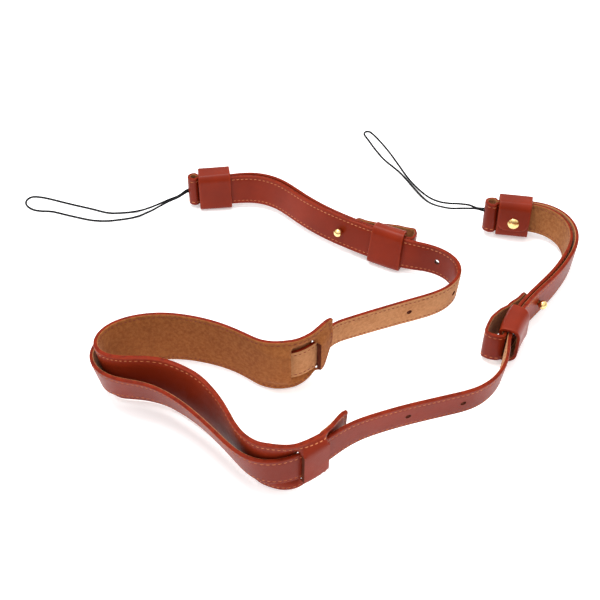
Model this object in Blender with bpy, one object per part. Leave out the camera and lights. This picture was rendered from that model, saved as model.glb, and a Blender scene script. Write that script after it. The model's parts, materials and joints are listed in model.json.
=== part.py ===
"""Camera shoulder strap of stitched leather, standing on its edges as it was laid down.

Lengths are in metres. The main strap is one flat band, and its middle line wanders round a
loop on the floor. Every other piece is set out along that band: a station is the distance
from its left end, an inset is measured from its middle towards the flesh side, and a height
is measured up from its centre line. Pieces are drawn and cut flat, and then bent round.
"""

from collections import namedtuple
import math

import bmesh
import bpy
from mathutils import Matrix, Vector
import numpy as np

# Main strap
STRAP_LENGTH = 0.9572
STRAP_WIDTH = 0.0215
STRAP_THICK = 0.0028
HOLE_RADIUS = 0.0018
HOLE_PITCH = 0.0345
HOLES_EACH_SIDE = 5

# End straps, which fold back at both ends
END_THICK = 0.0026
CORD_FOLD_REACH = 0.0078
CORD_FOLD_RADIUS = 0.0036
LEFT_REACH = 0.0075
RIGHT_REACH = 0.0046
LEFT_BELLY = 0.0078
RIGHT_BELLY = 0.0060
TIP_LAP = 0.0180
TIP_CORNER = 0.0050
TAIL_SHORT = 0.0030
MID_SLACK = 0.0009

# Keepers, the leather bands that hold the layers together
KEEPER_LENGTH = 0.022
KEEPER_WALL = 0.0021
KEEPER_SLACK = 0.0005
LEFT_SLIDE_SLACK = 0.0003
RIGHT_SLIDE_SLACK = 0.0030
KEEPER_CORNER = 0.0019
KEEPER_LIP = 0.0015
FLAP_CORNER = 0.0045
FLAP_FOOT = 0.0050

# Shoulder pad
PAD_SPAN = 0.3500
PAD_SHIFT = 0.0058
PAD_WIDTH = 0.0415
PAD_THICK = 0.0032
PAD_SLACK = 0.0072
FAR_SLOT_FROM_TIP = 0.0122
NEAR_SLOT_FROM_TIP = 0.0203
SLOT_PITCH = 0.0170
SLOT_OPENING = 0.0009
SLOT_RELIEF = 0.0013
BRIDGE_RAMP = 0.0065
TIP_LIFT = 0.0125
PINCH_SPREAD = 0.0030
RIM_SHARE = 0.32
RIM_FADE = 0.012

# Brass
STUD_FROM_LEFT = 0.1110
STUD_FROM_RIGHT = 0.1245
STUD_TO_KEEPER = 0.0230
BALL_RADIUS = 0.0029
POST_RADIUS = 0.0013
STUD_BASE_RADIUS = 0.0040
STUD_BASE_THICK = 0.0009
STUD_BASE_EDGE = 0.0003
RIVET_RADIUS = 0.0039
RIVET_HEIGHT = 0.0018
RIVET_BELOW = 0.0012
POLE_RADIUS = 0.0003

# Cords
CORD_RADIUS = 0.0006
CORD_HOLE_RADIUS = 0.0018
LEFT_CORD_RISE = -0.0012
RIGHT_CORD_RISE = 0.0035
CORD_SPLIT = 0.00075
KNOT_RADIUS = 0.0011
KNOT_LENGTH = 0.0011
CORD_SQUARE = 0.0018
KNOT_SPLIT = 0.0014
CORD_POINTS = 66

# Clearances and mesh steps
GAP = 0.0003
POST_GAP = 0.0004
FOOT_REACH = 0.006
BAND_STEP = 0.001
BAND_BLEND = 0.016
BAND_MARGIN = 0.020
FOLD_STEP = 0.0002
FOLD_BLEND = 0.0016
FOLD_CORNERS = 12
FOLD_SWEEP = 230
RUN_STEP = 0.0055
TURN_STEP = math.radians(22)
HOLE_SIDES = 12
TURNED_SIDES = 16
CORNER_STEPS = 3
BALL_STEPS = 8

Bend = namedtuple("Bend", "share heading lean rise")
Width = namedtuple("Width", "share width lift")
Slack = namedtuple("Slack", "share slack lean")
Belly = namedtuple("Belly", "share reach rise out")
Way = namedtuple("Way", "away aside high")
Ring = namedtuple("Ring", "radius along")
Side = namedtuple("Side", "name stud reach belly slack hole way")

# Share of the strap's length, heading and outward lean in degrees, and how far the centre
# line has risen from the keepers' middle, 0, to the pad's, 1.
ROUTE = (
    Bend(0.000, 11, -5, 0),
    Bend(0.029, 11, -10, 0),
    Bend(0.059, -41, -9, 0),
    Bend(0.071, -48, -9, 0),
    Bend(0.110, -34, -15, 0),
    Bend(0.161, -26, -15, 0),
    Bend(0.173, -7, -9, 0),
    Bend(0.186, -26, -4, 0.01),
    Bend(0.201, -59, -4, 0.03),
    Bend(0.217, -113, -5, 0.08),
    Bend(0.233, -143, -5, 0.16),
    Bend(0.248, -157, -5, 0.28),
    Bend(0.313, -154, -9, 0.74),
    Bend(0.323, -106, -3, 0.72),
    Bend(0.335, -131, 0, 0.84),
    Bend(0.349, -149, 0, 0.96),
    Bend(0.362, -201, 0, 1),
    Bend(0.376, -218, 1, 1),
    Bend(0.402, -203, 2, 1),
    Bend(0.428, -188, 2, 1),
    Bend(0.456, -163, 4, 1),
    Bend(0.478, -131, 8, 1),
    Bend(0.493, -88, 12, 1),
    Bend(0.510, -30, 10, 1),
    Bend(0.524, -4, 16, 1),
    Bend(0.548, -32, 18, 1),
    Bend(0.577, -47, 19, 1),
    Bend(0.605, -52, 17, 1),
    Bend(0.618, -41, 12, 1),
    Bend(0.635, 7, 3, 1),
    Bend(0.657, 39, 0, 1),
    Bend(0.680, 41, 3, 1),
    Bend(0.700, 26, 8, 0.75),
    Bend(0.738, 19, 9, 0.35),
    Bend(0.763, 18, 9, 0.18),
    Bend(0.788, 53, 9, 0.06),
    Bend(0.809, 79, 6, 0),
    Bend(0.823, 72, 0, 0),
    Bend(0.848, 56, 0, 0),
    Bend(0.875, 47, 0, 0),
    Bend(0.894, 53, 3, 0),
    Bend(0.920, 64, 4, 0),
    Bend(0.941, 96, 6, 0),
    Bend(0.963, 144, 9, 0),
    Bend(0.976, 170, 10, 0),
    Bend(1.000, 172, 10, 0),
)

# Share of the pad's span from its far tip, share of its full width, and share of the far
# tip's lift above the strap's middle.
PAD_WIDTHS = (
    Width(0.000, 0.48, 1.04),
    Width(0.004, 0.55, 1.00),
    Width(0.018, 0.59, 0.82),
    Width(0.026, 0.62, 0.66),
    Width(0.036, 0.85, 0.19),
    Width(0.052, 0.92, 0.12),
    Width(0.070, 0.98, 0.05),
    Width(0.088, 1.00, 0.02),
    Width(0.110, 0.98, 0),
    Width(0.135, 0.91, 0),
    Width(0.160, 0.87, 0),
    Width(0.190, 0.86, 0),
    Width(0.325, 0.91, 0),
    Width(0.500, 0.93, 0),
    Width(0.675, 0.91, 0),
    Width(0.770, 0.93, 0),
    Width(0.800, 0.98, 0),
    Width(0.828, 1.00, 0),
    Width(0.850, 0.99, 0),
    Width(0.875, 0.95, 0.01),
    Width(0.900, 0.88, 0.03),
    Width(0.925, 0.81, 0.06),
    Width(0.950, 0.75, 0.12),
    Width(0.970, 0.61, 0.29),
    Width(0.985, 0.53, 0.36),
    Width(0.995, 0.45, 0.42),
    Width(1.000, 0.35, 0.48),
)

# Share of the pad's span from its far tip, share of its slack that it stands off the strap,
# and its outward lean in degrees past the strap's own.
PAD_SLACKS = (
    Slack(0.000, 0.06, 0),
    Slack(0.040, 0.00, 0),
    Slack(0.110, 0.00, 0),
    Slack(0.250, 0.07, 0),
    Slack(0.420, 0.07, 0),
    Slack(0.480, 0.18, -3),
    Slack(0.545, 0.62, -12),
    Slack(0.600, 0.96, -21),
    Slack(0.655, 1.00, -26),
    Slack(0.710, 0.78, -20),
    Slack(0.770, 0.40, -9),
    Slack(0.810, 0.20, -4),
    Slack(0.840, 0.08, 0),
    Slack(0.900, 0.00, 0),
    Slack(0.962, 0.00, 0),
    Slack(1.000, 0.50, 0),
)

# The end strap's fold past its slide keeper: share of the keeper passed, share of the fold's
# reach past that, share of the step from the inner layer to the outer one, share of the belly.
SLIDE_FOLD = (
    Belly(0.00, 0.00, 1.00, 0.00),
    Belly(0.20, 0.00, 1.00, 0.42),
    Belly(0.55, 0.00, 1.00, 0.86),
    Belly(1.00, 0.10, 1.00, 1.00),
    Belly(1.00, 0.70, 0.95, 0.98),
    Belly(1.00, 1.05, 0.65, 0.55),
    Belly(1.00, 0.95, 0.35, 0.05),
    Belly(1.00, 0.55, 0.00, 0.00),
)

# Ways of the two cords from their holes: metres to the right, away from the viewer, and up
# from the floor. Each ends where it began.
LEFT_WAY = (
    Way(-0.0080, -0.0033, 0.0102),
    Way(-0.0149, -0.0046, 0.0078),
    Way(-0.0205, -0.0059, 0.0057),
    Way(-0.0275, -0.0074, 0.0033),
    Way(-0.0338, -0.0086, 0.0017),
    Way(-0.0415, -0.0095, 0.0007),
    Way(-0.0504, -0.0104, 0.0006),
    Way(-0.0581, -0.0099, 0.0006),
    Way(-0.0698, -0.0057, 0.0006),
    Way(-0.0844, -0.0008, 0.0006),
    Way(-0.0992, 0.0046, 0.0006),
    Way(-0.1070, 0.0068, 0.0006),
    Way(-0.1123, 0.0071, 0.0006),
    Way(-0.1152, 0.0050, 0.0006),
    Way(-0.1163, 0.0016, 0.0006),
    Way(-0.1146, -0.0028, 0.0006),
    Way(-0.1100, -0.0066, 0.0006),
    Way(-0.1042, -0.0082, 0.0006),
    Way(-0.0958, -0.0089, 0.0006),
    Way(-0.0832, -0.0132, 0.0006),
    Way(-0.0682, -0.0178, 0.0006),
    Way(-0.0572, -0.0187, 0.0006),
    Way(-0.0476, -0.0173, 0.0006),
    Way(-0.0402, -0.0155, 0.0006),
    Way(-0.0340, -0.0136, 0.0013),
    Way(-0.0272, -0.0110, 0.0030),
    Way(-0.0204, -0.0081, 0.0053),
    Way(-0.0148, -0.0060, 0.0074),
    Way(-0.0082, -0.0042, 0.0096),
)
RIGHT_WAY = (
    Way(-0.0056, 0.0027, 0.0182),
    Way(-0.0102, 0.0076, 0.0166),
    Way(-0.0163, 0.0127, 0.0134),
    Way(-0.0224, 0.0172, 0.0100),
    Way(-0.0287, 0.0229, 0.0068),
    Way(-0.0348, 0.0311, 0.0039),
    Way(-0.0409, 0.0422, 0.0019),
    Way(-0.0471, 0.0552, 0.0009),
    Way(-0.0532, 0.0712, 0.0006),
    Way(-0.0596, 0.0874, 0.0006),
    Way(-0.0663, 0.1014, 0.0006),
    Way(-0.0713, 0.1093, 0.0006),
    Way(-0.0740, 0.1120, 0.0006),
    Way(-0.0756, 0.1115, 0.0006),
    Way(-0.0760, 0.1090, 0.0006),
    Way(-0.0740, 0.1010, 0.0006),
    Way(-0.0691, 0.0890, 0.0006),
    Way(-0.0634, 0.0776, 0.0006),
    Way(-0.0570, 0.0686, 0.0006),
    Way(-0.0523, 0.0616, 0.0006),
    Way(-0.0473, 0.0514, 0.0009),
    Way(-0.0411, 0.0373, 0.0020),
    Way(-0.0366, 0.0270, 0.0040),
    Way(-0.0322, 0.0206, 0.0060),
    Way(-0.0262, 0.0142, 0.0090),
    Way(-0.0210, 0.0099, 0.0116),
    Way(-0.0138, 0.0063, 0.0148),
    Way(-0.0060, 0.0032, 0.0171),
)

# Layers, as the insets of their middles and faces
STRAP_FACE = STRAP_THICK / 2
FIRST_LAYER = STRAP_FACE + GAP + END_THICK / 2
SECOND_LAYER = FIRST_LAYER + END_THICK + GAP
GRAIN_ROOM = -STRAP_FACE - GAP
SLIDE_ROOM = FIRST_LAYER + END_THICK / 2 + GAP
CORD_ROOM = SECOND_LAYER + END_THICK / 2 + GAP
OVER_SLIDE = SLIDE_ROOM + KEEPER_WALL + GAP + END_THICK / 2
FLAP_FACE = CORD_ROOM + 2 * KEEPER_WALL
PAD_LAYER = STRAP_FACE + GAP + PAD_THICK / 2
PAD_START = (STRAP_LENGTH - PAD_SPAN) / 2 + PAD_SHIFT

# Heights from the centre line
ROOM_HALF = STRAP_WIDTH / 2 + GAP
KEEPER_ROOM = STRAP_WIDTH / 2 + KEEPER_SLACK
KEEPER_HALF = KEEPER_ROOM + KEEPER_WALL
SLOT_HALF = ROOM_HALF + SLOT_RELIEF


def remove_startup_objects():
    """The scene starts empty."""
    for thing in list(bpy.data.objects):
        bpy.data.objects.remove(thing)


def running_mean(values, reach):
    """Values averaged over a reach to both sides, which keeps straight runs as they are."""
    padding = [(reach, reach)] + [(0, 0)] * (values.ndim - 1)
    padded = np.pad(values, padding, mode="reflect", reflect_type="odd")
    sums = np.cumsum(np.concatenate([np.zeros_like(padded[:1]), padded]), axis=0)
    width = 2 * reach + 1
    return (sums[width:] - sums[:-width]) / width


def column(rows, name, shares):
    """One column of a table, read at shares between its rows."""
    return np.interp(shares, [row.share for row in rows], [getattr(row, name) for row in rows])


def eased(value):
    """Runs from 0 to 1, level at both ends."""
    value = min(max(value, 0), 1)
    return value * value * (3 - 2 * value)


class Band:
    """The main strap's middle line: where each station lies, how it heads and how it leans."""

    def __init__(self):
        count = int(math.ceil((STRAP_LENGTH + 2 * BAND_MARGIN) / BAND_STEP)) + 1
        self.stations = -BAND_MARGIN + BAND_STEP * np.arange(count)
        self.heading = self.read("heading")
        self.lean = self.read("lean")
        half = KEEPER_HALF + (PAD_WIDTH / 2 - KEEPER_HALF) * np.clip(self.read("rise"), 0, 1)
        slope = np.radians(self.lean)
        self.centre = half * np.cos(slope) + FOOT_REACH * np.abs(np.sin(slope))
        middle = np.radians((self.heading[1:] + self.heading[:-1]) / 2)
        self.x = np.concatenate([[0], np.cumsum(np.cos(middle))]) * BAND_STEP
        self.y = np.concatenate([[0], np.cumsum(np.sin(middle))]) * BAND_STEP

    def read(self, name):
        """One column of the route, with its corners turned into gentle curves."""
        values = column(ROUTE, name, self.stations / STRAP_LENGTH)
        return running_mean(values, round(BAND_BLEND / BAND_STEP / 2))

    def frame(self, station):
        """The point on the centre line, and the directions forward, inward and up."""
        x, y, heading, lean, centre = (
            float(np.interp(station, self.stations, values))
            for values in (self.x, self.y, self.heading, self.lean, self.centre)
        )
        turn = math.radians(heading)
        slope = math.radians(lean)
        forward = Vector((math.cos(turn), math.sin(turn), 0))
        level = Vector((-math.sin(turn), math.cos(turn), 0))
        inward = level * math.cos(slope) + Vector((0, 0, math.sin(slope)))
        upward = forward.cross(inward)
        return Vector((x, y, centre)), forward, inward, upward, level

    def place(self, station, inset, height, aside=0):
        """A point of the bent strap. What would sink through the floor is flattened on it."""
        origin, _, inward, upward, level = self.frame(station)
        point = origin + inward * inset + upward * height + level * aside
        point.z = max(point.z, 0)
        return point

    def matrix(self, station, inset, height):
        """The place of a hard piece: its X forward, its Y inward and its Z up."""
        origin, forward, inward, upward, _ = self.frame(station)
        turned = Matrix((forward, inward, upward)).transposed().to_4x4()
        return Matrix.Translation(origin + inward * inset + upward * height) @ turned


class Fold:
    """A middle line through corners, rounded off and measured along its run."""

    def __init__(self, corners):
        corners = np.array(corners)
        runs = np.concatenate([[0], np.cumsum(np.linalg.norm(np.diff(corners, axis=0), axis=1))])
        count = int(runs[-1] / FOLD_STEP)
        steps = np.linspace(0, runs[-1], count)
        line = np.stack([np.interp(steps, runs, corners[:, axis]) for axis in (0, 1)], axis=1)
        for _ in range(2):
            line = running_mean(line, round(FOLD_BLEND / FOLD_STEP / 2))
        self.line = line
        lengths = np.linalg.norm(np.diff(line, axis=0), axis=1)
        self.run = np.concatenate([[0], np.cumsum(lengths)])
        slope = np.gradient(line, axis=0)
        self.turn = np.unwrap(np.arctan2(slope[:, 1], slope[:, 0]))

    def length(self):
        """The whole run."""
        return float(self.run[-1])

    def point(self, run, off):
        """The point at a run, set off to the line's left."""
        across, deep, turn = (
            float(np.interp(run, self.run, values))
            for values in (self.line[:, 0], self.line[:, 1], self.turn)
        )
        return across - off * math.sin(turn), deep + off * math.cos(turn)

    def cuts(self):
        """The runs at which a flat piece is sliced, so that it can follow the line."""
        places = []
        last_run = 0
        last_turn = self.turn[0]
        for run, turn in zip(self.run, self.turn):
            if run - last_run >= RUN_STEP or abs(turn - last_turn) >= TURN_STEP:
                places.append(float(run))
                last_run, last_turn = run, turn
        return places


def box_mesh(low, high):
    """A box between two corners."""
    mesh = bmesh.new()
    middle = (Vector(low) + Vector(high)) / 2
    size = Vector(high) - Vector(low)
    matrix = Matrix.Translation(middle) @ Matrix.Diagonal((*size, 1))
    bmesh.ops.create_cube(mesh, size=1, matrix=matrix)
    return mesh


def drill_mesh(run, height, radius, reach, middle=0):
    """A round cutter across a flat piece, to both sides of a middle inset."""
    mesh = bmesh.new()
    matrix = Matrix.Translation((run, middle, height)) @ Matrix.Rotation(math.pi / 2, 4, "X")
    bmesh.ops.create_cone(
        mesh,
        cap_ends=True,
        segments=HOLE_SIDES,
        radius1=radius,
        radius2=radius,
        depth=2 * reach,
        matrix=matrix,
    )
    return mesh


def plate_mesh(outline, thick):
    """A flat plate: an outline of run and height, with its thickness to both sides of 0."""
    mesh = bmesh.new()
    face = mesh.faces.new([mesh.verts.new((run, -thick / 2, high)) for run, high in outline])
    grown = bmesh.ops.extrude_face_region(mesh, geom=[face])
    moved = [item for item in grown["geom"] if isinstance(item, bmesh.types.BMVert)]
    bmesh.ops.translate(mesh, vec=(0, thick, 0), verts=moved)
    face_outward(mesh)
    return mesh


def ringed_mesh(rings):
    """A closed skin over rings of points, with each end filled."""
    mesh = bmesh.new()
    loops = [[mesh.verts.new(point) for point in ring] for ring in rings]
    for near, far in zip(loops, loops[1:]):
        for index in range(len(near)):
            mesh.faces.new((near[index - 1], near[index], far[index], far[index - 1]))
    mesh.faces.new(loops[0])
    mesh.faces.new(loops[-1])
    face_outward(mesh)
    return mesh


def sleeve_mesh(sections):
    """A closed tube wall: at each station an outer and an inner ring with as many points."""
    mesh = bmesh.new()
    walls = []
    for station, *rings in sections:
        walls.append([[mesh.verts.new((station, *point)) for point in ring] for ring in rings])
    for near, far in zip(walls, walls[1:]):
        for near_ring, far_ring in zip(near, far):
            for index in range(len(near_ring)):
                corners = (near_ring[index - 1], near_ring[index], far_ring[index])
                mesh.faces.new((*corners, far_ring[index - 1]))
    for outer, inner in (walls[0], walls[-1]):
        for index in range(len(outer)):
            mesh.faces.new((outer[index - 1], outer[index], inner[index], inner[index - 1]))
    face_outward(mesh)
    return mesh


def face_outward(shape):
    """Turns all the faces of a closed shape to its outside."""
    bmesh.ops.recalc_face_normals(shape, faces=shape.faces)
    if shape.calc_volume(signed=True) < 0:
        bmesh.ops.reverse_faces(shape, faces=shape.faces)


def stored(shape):
    """A mesh block made from a working mesh."""
    made = bpy.data.meshes.new("shape")
    shape.to_mesh(made)
    shape.free()
    return made


def cut_away(shape, cutters):
    """The shape less its cutters."""
    tool = bpy.data.meshes.new("tool")
    together = bmesh.new()
    for cutter in cutters:
        together.from_mesh(stored(cutter))
    bmesh.ops.recalc_face_normals(together, faces=together.faces)
    together.to_mesh(tool)
    together.free()
    tool_object = bpy.data.objects.new("tool", tool)
    tool_object.hide_render = True
    tool_object.display_type = "WIRE"
    work = bpy.data.objects.new("work", stored(shape))
    for thing in (tool_object, work):
        bpy.context.scene.collection.objects.link(thing)
    cut = work.modifiers.new("cut", "BOOLEAN")
    cut.operation = "DIFFERENCE"
    cut.solver = "EXACT"
    cut.object = tool_object
    graph = bpy.context.evaluated_depsgraph_get()
    made = bmesh.new()
    made.from_mesh(work.evaluated_get(graph).data)
    for thing in (tool_object, work):
        bpy.data.objects.remove(thing)
    return made


def slice_across(shape, places, axis, low=-math.inf, high=math.inf):
    """Cuts the faces that lie between two runs along planes across an axis."""
    normal = Vector([1 if index == axis else 0 for index in range(3)])
    for place in places:
        inside = [face for face in shape.faces if low < face.calc_center_median().x < high]
        edges = {edge for face in inside for edge in face.edges}
        verts = {vertex for face in inside for vertex in face.verts}
        bmesh.ops.bisect_plane(
            shape,
            geom=[*verts, *edges, *inside],
            dist=1e-6,
            plane_co=normal * place,
            plane_no=normal,
        )


def clear_of(places, holes, room):
    """The places that aren't within a room of a hole's middle, and the middles themselves."""
    kept = [place for place in places if all(abs(place - hole) > room for hole in holes)]
    return sorted(kept + list(holes))


def add_node(name, data, look, parent):
    """An object with its own material, under the strap's root."""
    node = bpy.data.objects.new(name, data)
    node.parent = parent
    bpy.context.scene.collection.objects.link(node)
    material = bpy.data.materials.new(name)
    material.use_nodes = True
    shader = material.node_tree.nodes["Principled BSDF"]
    colour, roughness, metallic = look
    shader.inputs["Base Color"].default_value = (*colour, 1)
    shader.inputs["Roughness"].default_value = roughness
    shader.inputs["Metallic"].default_value = metallic
    data.materials.append(material)
    return node


def add_bent(name, shape, bend, look, parent):
    """Bends a flat shape to its place and adds it."""
    bmesh.ops.triangulate(shape, faces=shape.faces)
    for vertex in shape.verts:
        vertex.co = bend(*vertex.co)
    face_outward(shape)
    mesh = stored(shape)
    mesh.shade_smooth()
    mesh.set_sharp_from_angle(angle=math.radians(35))
    return add_node(name, mesh, look, parent)


LEATHER = ((0.30, 0.045, 0.022), 0.42, 0)
DARK_LEATHER = ((0.20, 0.028, 0.014), 0.45, 0)
PAD_LEATHER = ((0.34, 0.055, 0.026), 0.45, 0)
BRASS = ((0.80, 0.58, 0.26), 0.25, 1)
CORD_BLACK = ((0.012, 0.012, 0.014), 0.6, 0)


def hole_stations():
    """The strap's round holes: the studs' own, and more of them towards the middle."""
    left = [STUD_FROM_LEFT + HOLE_PITCH * index for index in range(HOLES_EACH_SIDE)]
    right = [STUD_FROM_RIGHT + HOLE_PITCH * index for index in range(HOLES_EACH_SIDE)]
    return left + [STRAP_LENGTH - place for place in reversed(right)]


def add_main_strap(band, parent):
    """The long strap, from keeper to keeper, with its two rows of holes."""
    half = STRAP_WIDTH / 2
    outline = ((0, -half), (STRAP_LENGTH, -half), (STRAP_LENGTH, half), (0, half))
    holes = hole_stations()
    drills = [drill_mesh(place, 0, HOLE_RADIUS, STRAP_THICK) for place in holes]
    shape = cut_away(plate_mesh(outline, STRAP_THICK), drills)
    count = round(STRAP_LENGTH / RUN_STEP)
    places = [STRAP_LENGTH * index / count for index in range(1, count)]
    slice_across(shape, clear_of(places, holes, HOLE_RADIUS + RUN_STEP / 5), 0)
    add_bent("main_strap", shape, band.place, LEATHER, parent)


def slot_stations():
    """The pad's slots, in pairs from its far tip."""
    far = PAD_START + FAR_SLOT_FROM_TIP
    near = PAD_START + PAD_SPAN - NEAR_SLOT_FROM_TIP
    return (far, far + SLOT_PITCH), (near - SLOT_PITCH, near)


def bridge_share(station, height):
    """How far the pad has crossed from the flesh side, 0, to its bridge over the strap, 1."""
    above = abs(height)
    spread = SLOT_OPENING / 2 + PINCH_SPREAD * min(max((above - SLOT_HALF) / PINCH_SPREAD, 0), 1)
    rim = eased((above - ROOM_HALF) / BRIDGE_RAMP)
    crossed = 0
    beside = 0
    for first, last in slot_stations():
        rising = eased((station - first + spread) / (2 * spread))
        falling = eased((last + spread - station) / (2 * spread))
        crossed = max(crossed, min(rising, falling))
        outside = max(first - station, station - last, 0)
        beside = max(beside, 1 - eased(outside / RIM_FADE))
    return crossed * (1 - rim) + RIM_SHARE * rim * beside


def add_shoulder_pad(band, parent):
    """The wide padded leather, threaded on the strap through two slots at each end."""
    count = round(PAD_SPAN / RUN_STEP)
    shares = {index / count for index in range(count + 1)}
    shares |= {row.share for row in PAD_WIDTHS if min(row.share, 1 - row.share) < 1 / count}
    top = []
    bottom = []
    for share in sorted(shares):
        station = PAD_START + PAD_SPAN * share
        half = PAD_WIDTH / 2 * float(column(PAD_WIDTHS, "width", share))
        lift = TIP_LIFT * float(column(PAD_WIDTHS, "lift", share))
        top.append((station, lift + half))
        bottom.append((station, lift - half))
    outline = top + bottom[::-1]
    slots = [station for pair in slot_stations() for station in pair]
    cutters = []
    for slot in slots:
        low = (slot - SLOT_OPENING / 2, -PAD_THICK, -SLOT_HALF)
        high = (slot + SLOT_OPENING / 2, PAD_THICK, SLOT_HALF)
        cutters.append(box_mesh(low, high))
    shape = cut_away(plate_mesh(outline, PAD_THICK), cutters)

    places = clear_of([station for station, _ in top[1:-1]], slots, RUN_STEP / 2)
    places = [place for place in places if place not in slots]
    for slot in slots:
        places += [slot - SLOT_OPENING / 2, slot + SLOT_OPENING / 2]
        places += [slot - PINCH_SPREAD, slot + PINCH_SPREAD]
    slice_across(shape, places, 0)
    heights = [ROOM_HALF, SLOT_HALF, SLOT_HALF + PINCH_SPREAD / 2, SLOT_HALF + PINCH_SPREAD]
    heights.append(ROOM_HALF + BRIDGE_RAMP)
    for first, last in slot_stations():
        both = heights + [-height for height in heights]
        slice_across(shape, both, 2, first - 2 * PINCH_SPREAD, last + 2 * PINCH_SPREAD)

    def bend(station, thick, height):
        share = (station - PAD_START) / PAD_SPAN
        aside = PAD_SLACK * float(column(PAD_SLACKS, "slack", share))
        lean = math.radians(float(column(PAD_SLACKS, "lean", share)))
        across = PAD_LAYER * (1 - 2 * bridge_share(station, height)) + thick
        inset = across * math.cos(lean) - height * math.sin(lean)
        return band.place(station, inset, height * math.cos(lean) + across * math.sin(lean), aside)

    add_bent("shoulder_pad", shape, bend, PAD_LEATHER, parent)


def end_strap_fold(side):
    """An end strap's middle line, in distance from its own end and inset: it starts at its
    tip outside the slide keeper, folds back through it, runs under the stud to the cord's
    keeper, folds round there and ends inside that keeper."""
    slide = side.stud + STUD_TO_KEEPER
    corners = [(slide - TIP_LAP, SECOND_LAYER), (slide - TIP_LAP / 2, SECOND_LAYER + GAP)]
    corners.append((slide - KEEPER_WALL, OVER_SLIDE))
    step = OVER_SLIDE - FIRST_LAYER
    reach = side.reach - END_THICK / 2
    for row in SLIDE_FOLD:
        across = slide + KEEPER_LENGTH * row.share + reach * row.reach
        corners.append((across, FIRST_LAYER + step * row.rise + side.belly * row.out))
    corners.append((slide, FIRST_LAYER))
    corners.append((slide - KEEPER_WALL, FIRST_LAYER))
    corners.append((side.stud + STUD_BASE_RADIUS, FIRST_LAYER))
    corners.append((side.stud - STUD_BASE_RADIUS, FIRST_LAYER))
    mouth = KEEPER_LENGTH - KEEPER_LIP
    corners.append(((side.stud + 2 * mouth) / 3, FIRST_LAYER + MID_SLACK))
    corners.append(((side.stud + 5 * mouth) / 6, FIRST_LAYER + MID_SLACK))
    corners.append((mouth, FIRST_LAYER))
    corners.append((-KEEPER_LIP - END_THICK / 2, FIRST_LAYER))
    centre = -KEEPER_LIP - (CORD_FOLD_REACH - END_THICK / 2 - CORD_FOLD_RADIUS)
    middle = (FIRST_LAYER + SECOND_LAYER) / 2
    for index in range(FOLD_CORNERS + 1):
        angle = math.radians(FOLD_SWEEP * (0.5 - index / FOLD_CORNERS) - 180)
        across = centre + CORD_FOLD_RADIUS * math.cos(angle)
        corners.append((across, middle + CORD_FOLD_RADIUS * math.sin(angle)))
    corners.append((-KEEPER_LIP - END_THICK / 2, SECOND_LAYER))
    corners.append((mouth - TAIL_SHORT, SECOND_LAYER))
    return Fold(corners)


def fold_turning(fold):
    """The run at which the line reaches farthest past the strap's end."""
    return float(fold.run[int(np.argmin(fold.line[:, 0]))])


def fold_run(fold, across, after, before):
    """The run, within limits, at which the line passes a distance from the strap's end."""
    inside = (fold.run > after) & (fold.run < before)
    index = int(np.argmin(np.abs(fold.line[:, 0] - across) + 10 * ~inside))
    return float(fold.run[index])


def rivet_across():
    """The rivets' distance from the strap's end: the middle of the cord's keeper."""
    return KEEPER_LENGTH / 2 - KEEPER_LIP


def add_end_strap(side, band, parent, fold, from_end):
    """A narrow strap that holds the cord at one end and its keeper at the other."""
    length = fold.length()
    half = STRAP_WIDTH / 2
    corner = []
    for index in range(CORNER_STEPS + 1):
        angle = math.pi / 2 * index / CORNER_STEPS
        away = TIP_CORNER * (1 - math.cos(angle))
        corner.append((away, half - TIP_CORNER * (1 - math.sin(angle))))
    outline = [(0, 0), *corner, (length, half), (length, -half)]
    outline += [(away, -height) for away, height in reversed(corner)]
    apex = fold_turning(fold)
    slide_end = float(fold.run[int(np.argmax(fold.line[:, 0]))])
    stud_hole = fold_run(fold, side.stud, slide_end, apex)
    rivet_holes = [
        fold_run(fold, rivet_across(), slide_end, apex),
        fold_run(fold, rivet_across(), apex, length),
    ]
    drills = [drill_mesh(stud_hole, 0, HOLE_RADIUS, END_THICK)]
    drills.append(drill_mesh(apex, side.hole, CORD_HOLE_RADIUS, END_THICK))
    for run in rivet_holes:
        drills.append(drill_mesh(run, -RIVET_BELOW, POST_RADIUS + POST_GAP, END_THICK))
    shape = cut_away(plate_mesh(outline, END_THICK), drills)
    straight_holes = [stud_hole, *rivet_holes]
    places = clear_of(fold.cuts(), straight_holes, HOLE_RADIUS + RUN_STEP / 5)
    places += [away for away, _ in corner[1:]]
    slice_across(shape, places, 0)

    def bend(run, off, height):
        across, inset = fold.point(run, off)
        return band.place(from_end(across), inset, height)

    add_bent(side.name + "_end_strap", shape, bend, DARK_LEATHER, parent)


def section_ring(low, high, half, corner, foot=None, foot_depth=0):
    """A rounded section of inset and height, with two points on its flesh side where an
    overlapping flap ends. Below its foot the side steps back by the foot's depth."""
    centres = ((low + corner, half - corner, 1), (high - corner, half - corner, 0))
    points = []
    for middle, height, quarter in centres:
        for index in range(CORNER_STEPS + 1):
            angle = math.pi / 2 * (quarter + 1 - index / CORNER_STEPS)
            points.append((middle + corner * math.cos(angle), height + corner * math.sin(angle)))
    below = high - foot_depth
    if foot is not None:
        points += [(high, foot), (below, foot)]
    for middle, quarter in ((below - corner, 0), (low + corner, 1)):
        for index in range(CORNER_STEPS + 1):
            angle = -math.pi / 2 * (index / CORNER_STEPS + quarter)
            height = corner - half + corner * math.sin(angle)
            points.append((middle + corner * math.cos(angle), height))
    return points


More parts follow.
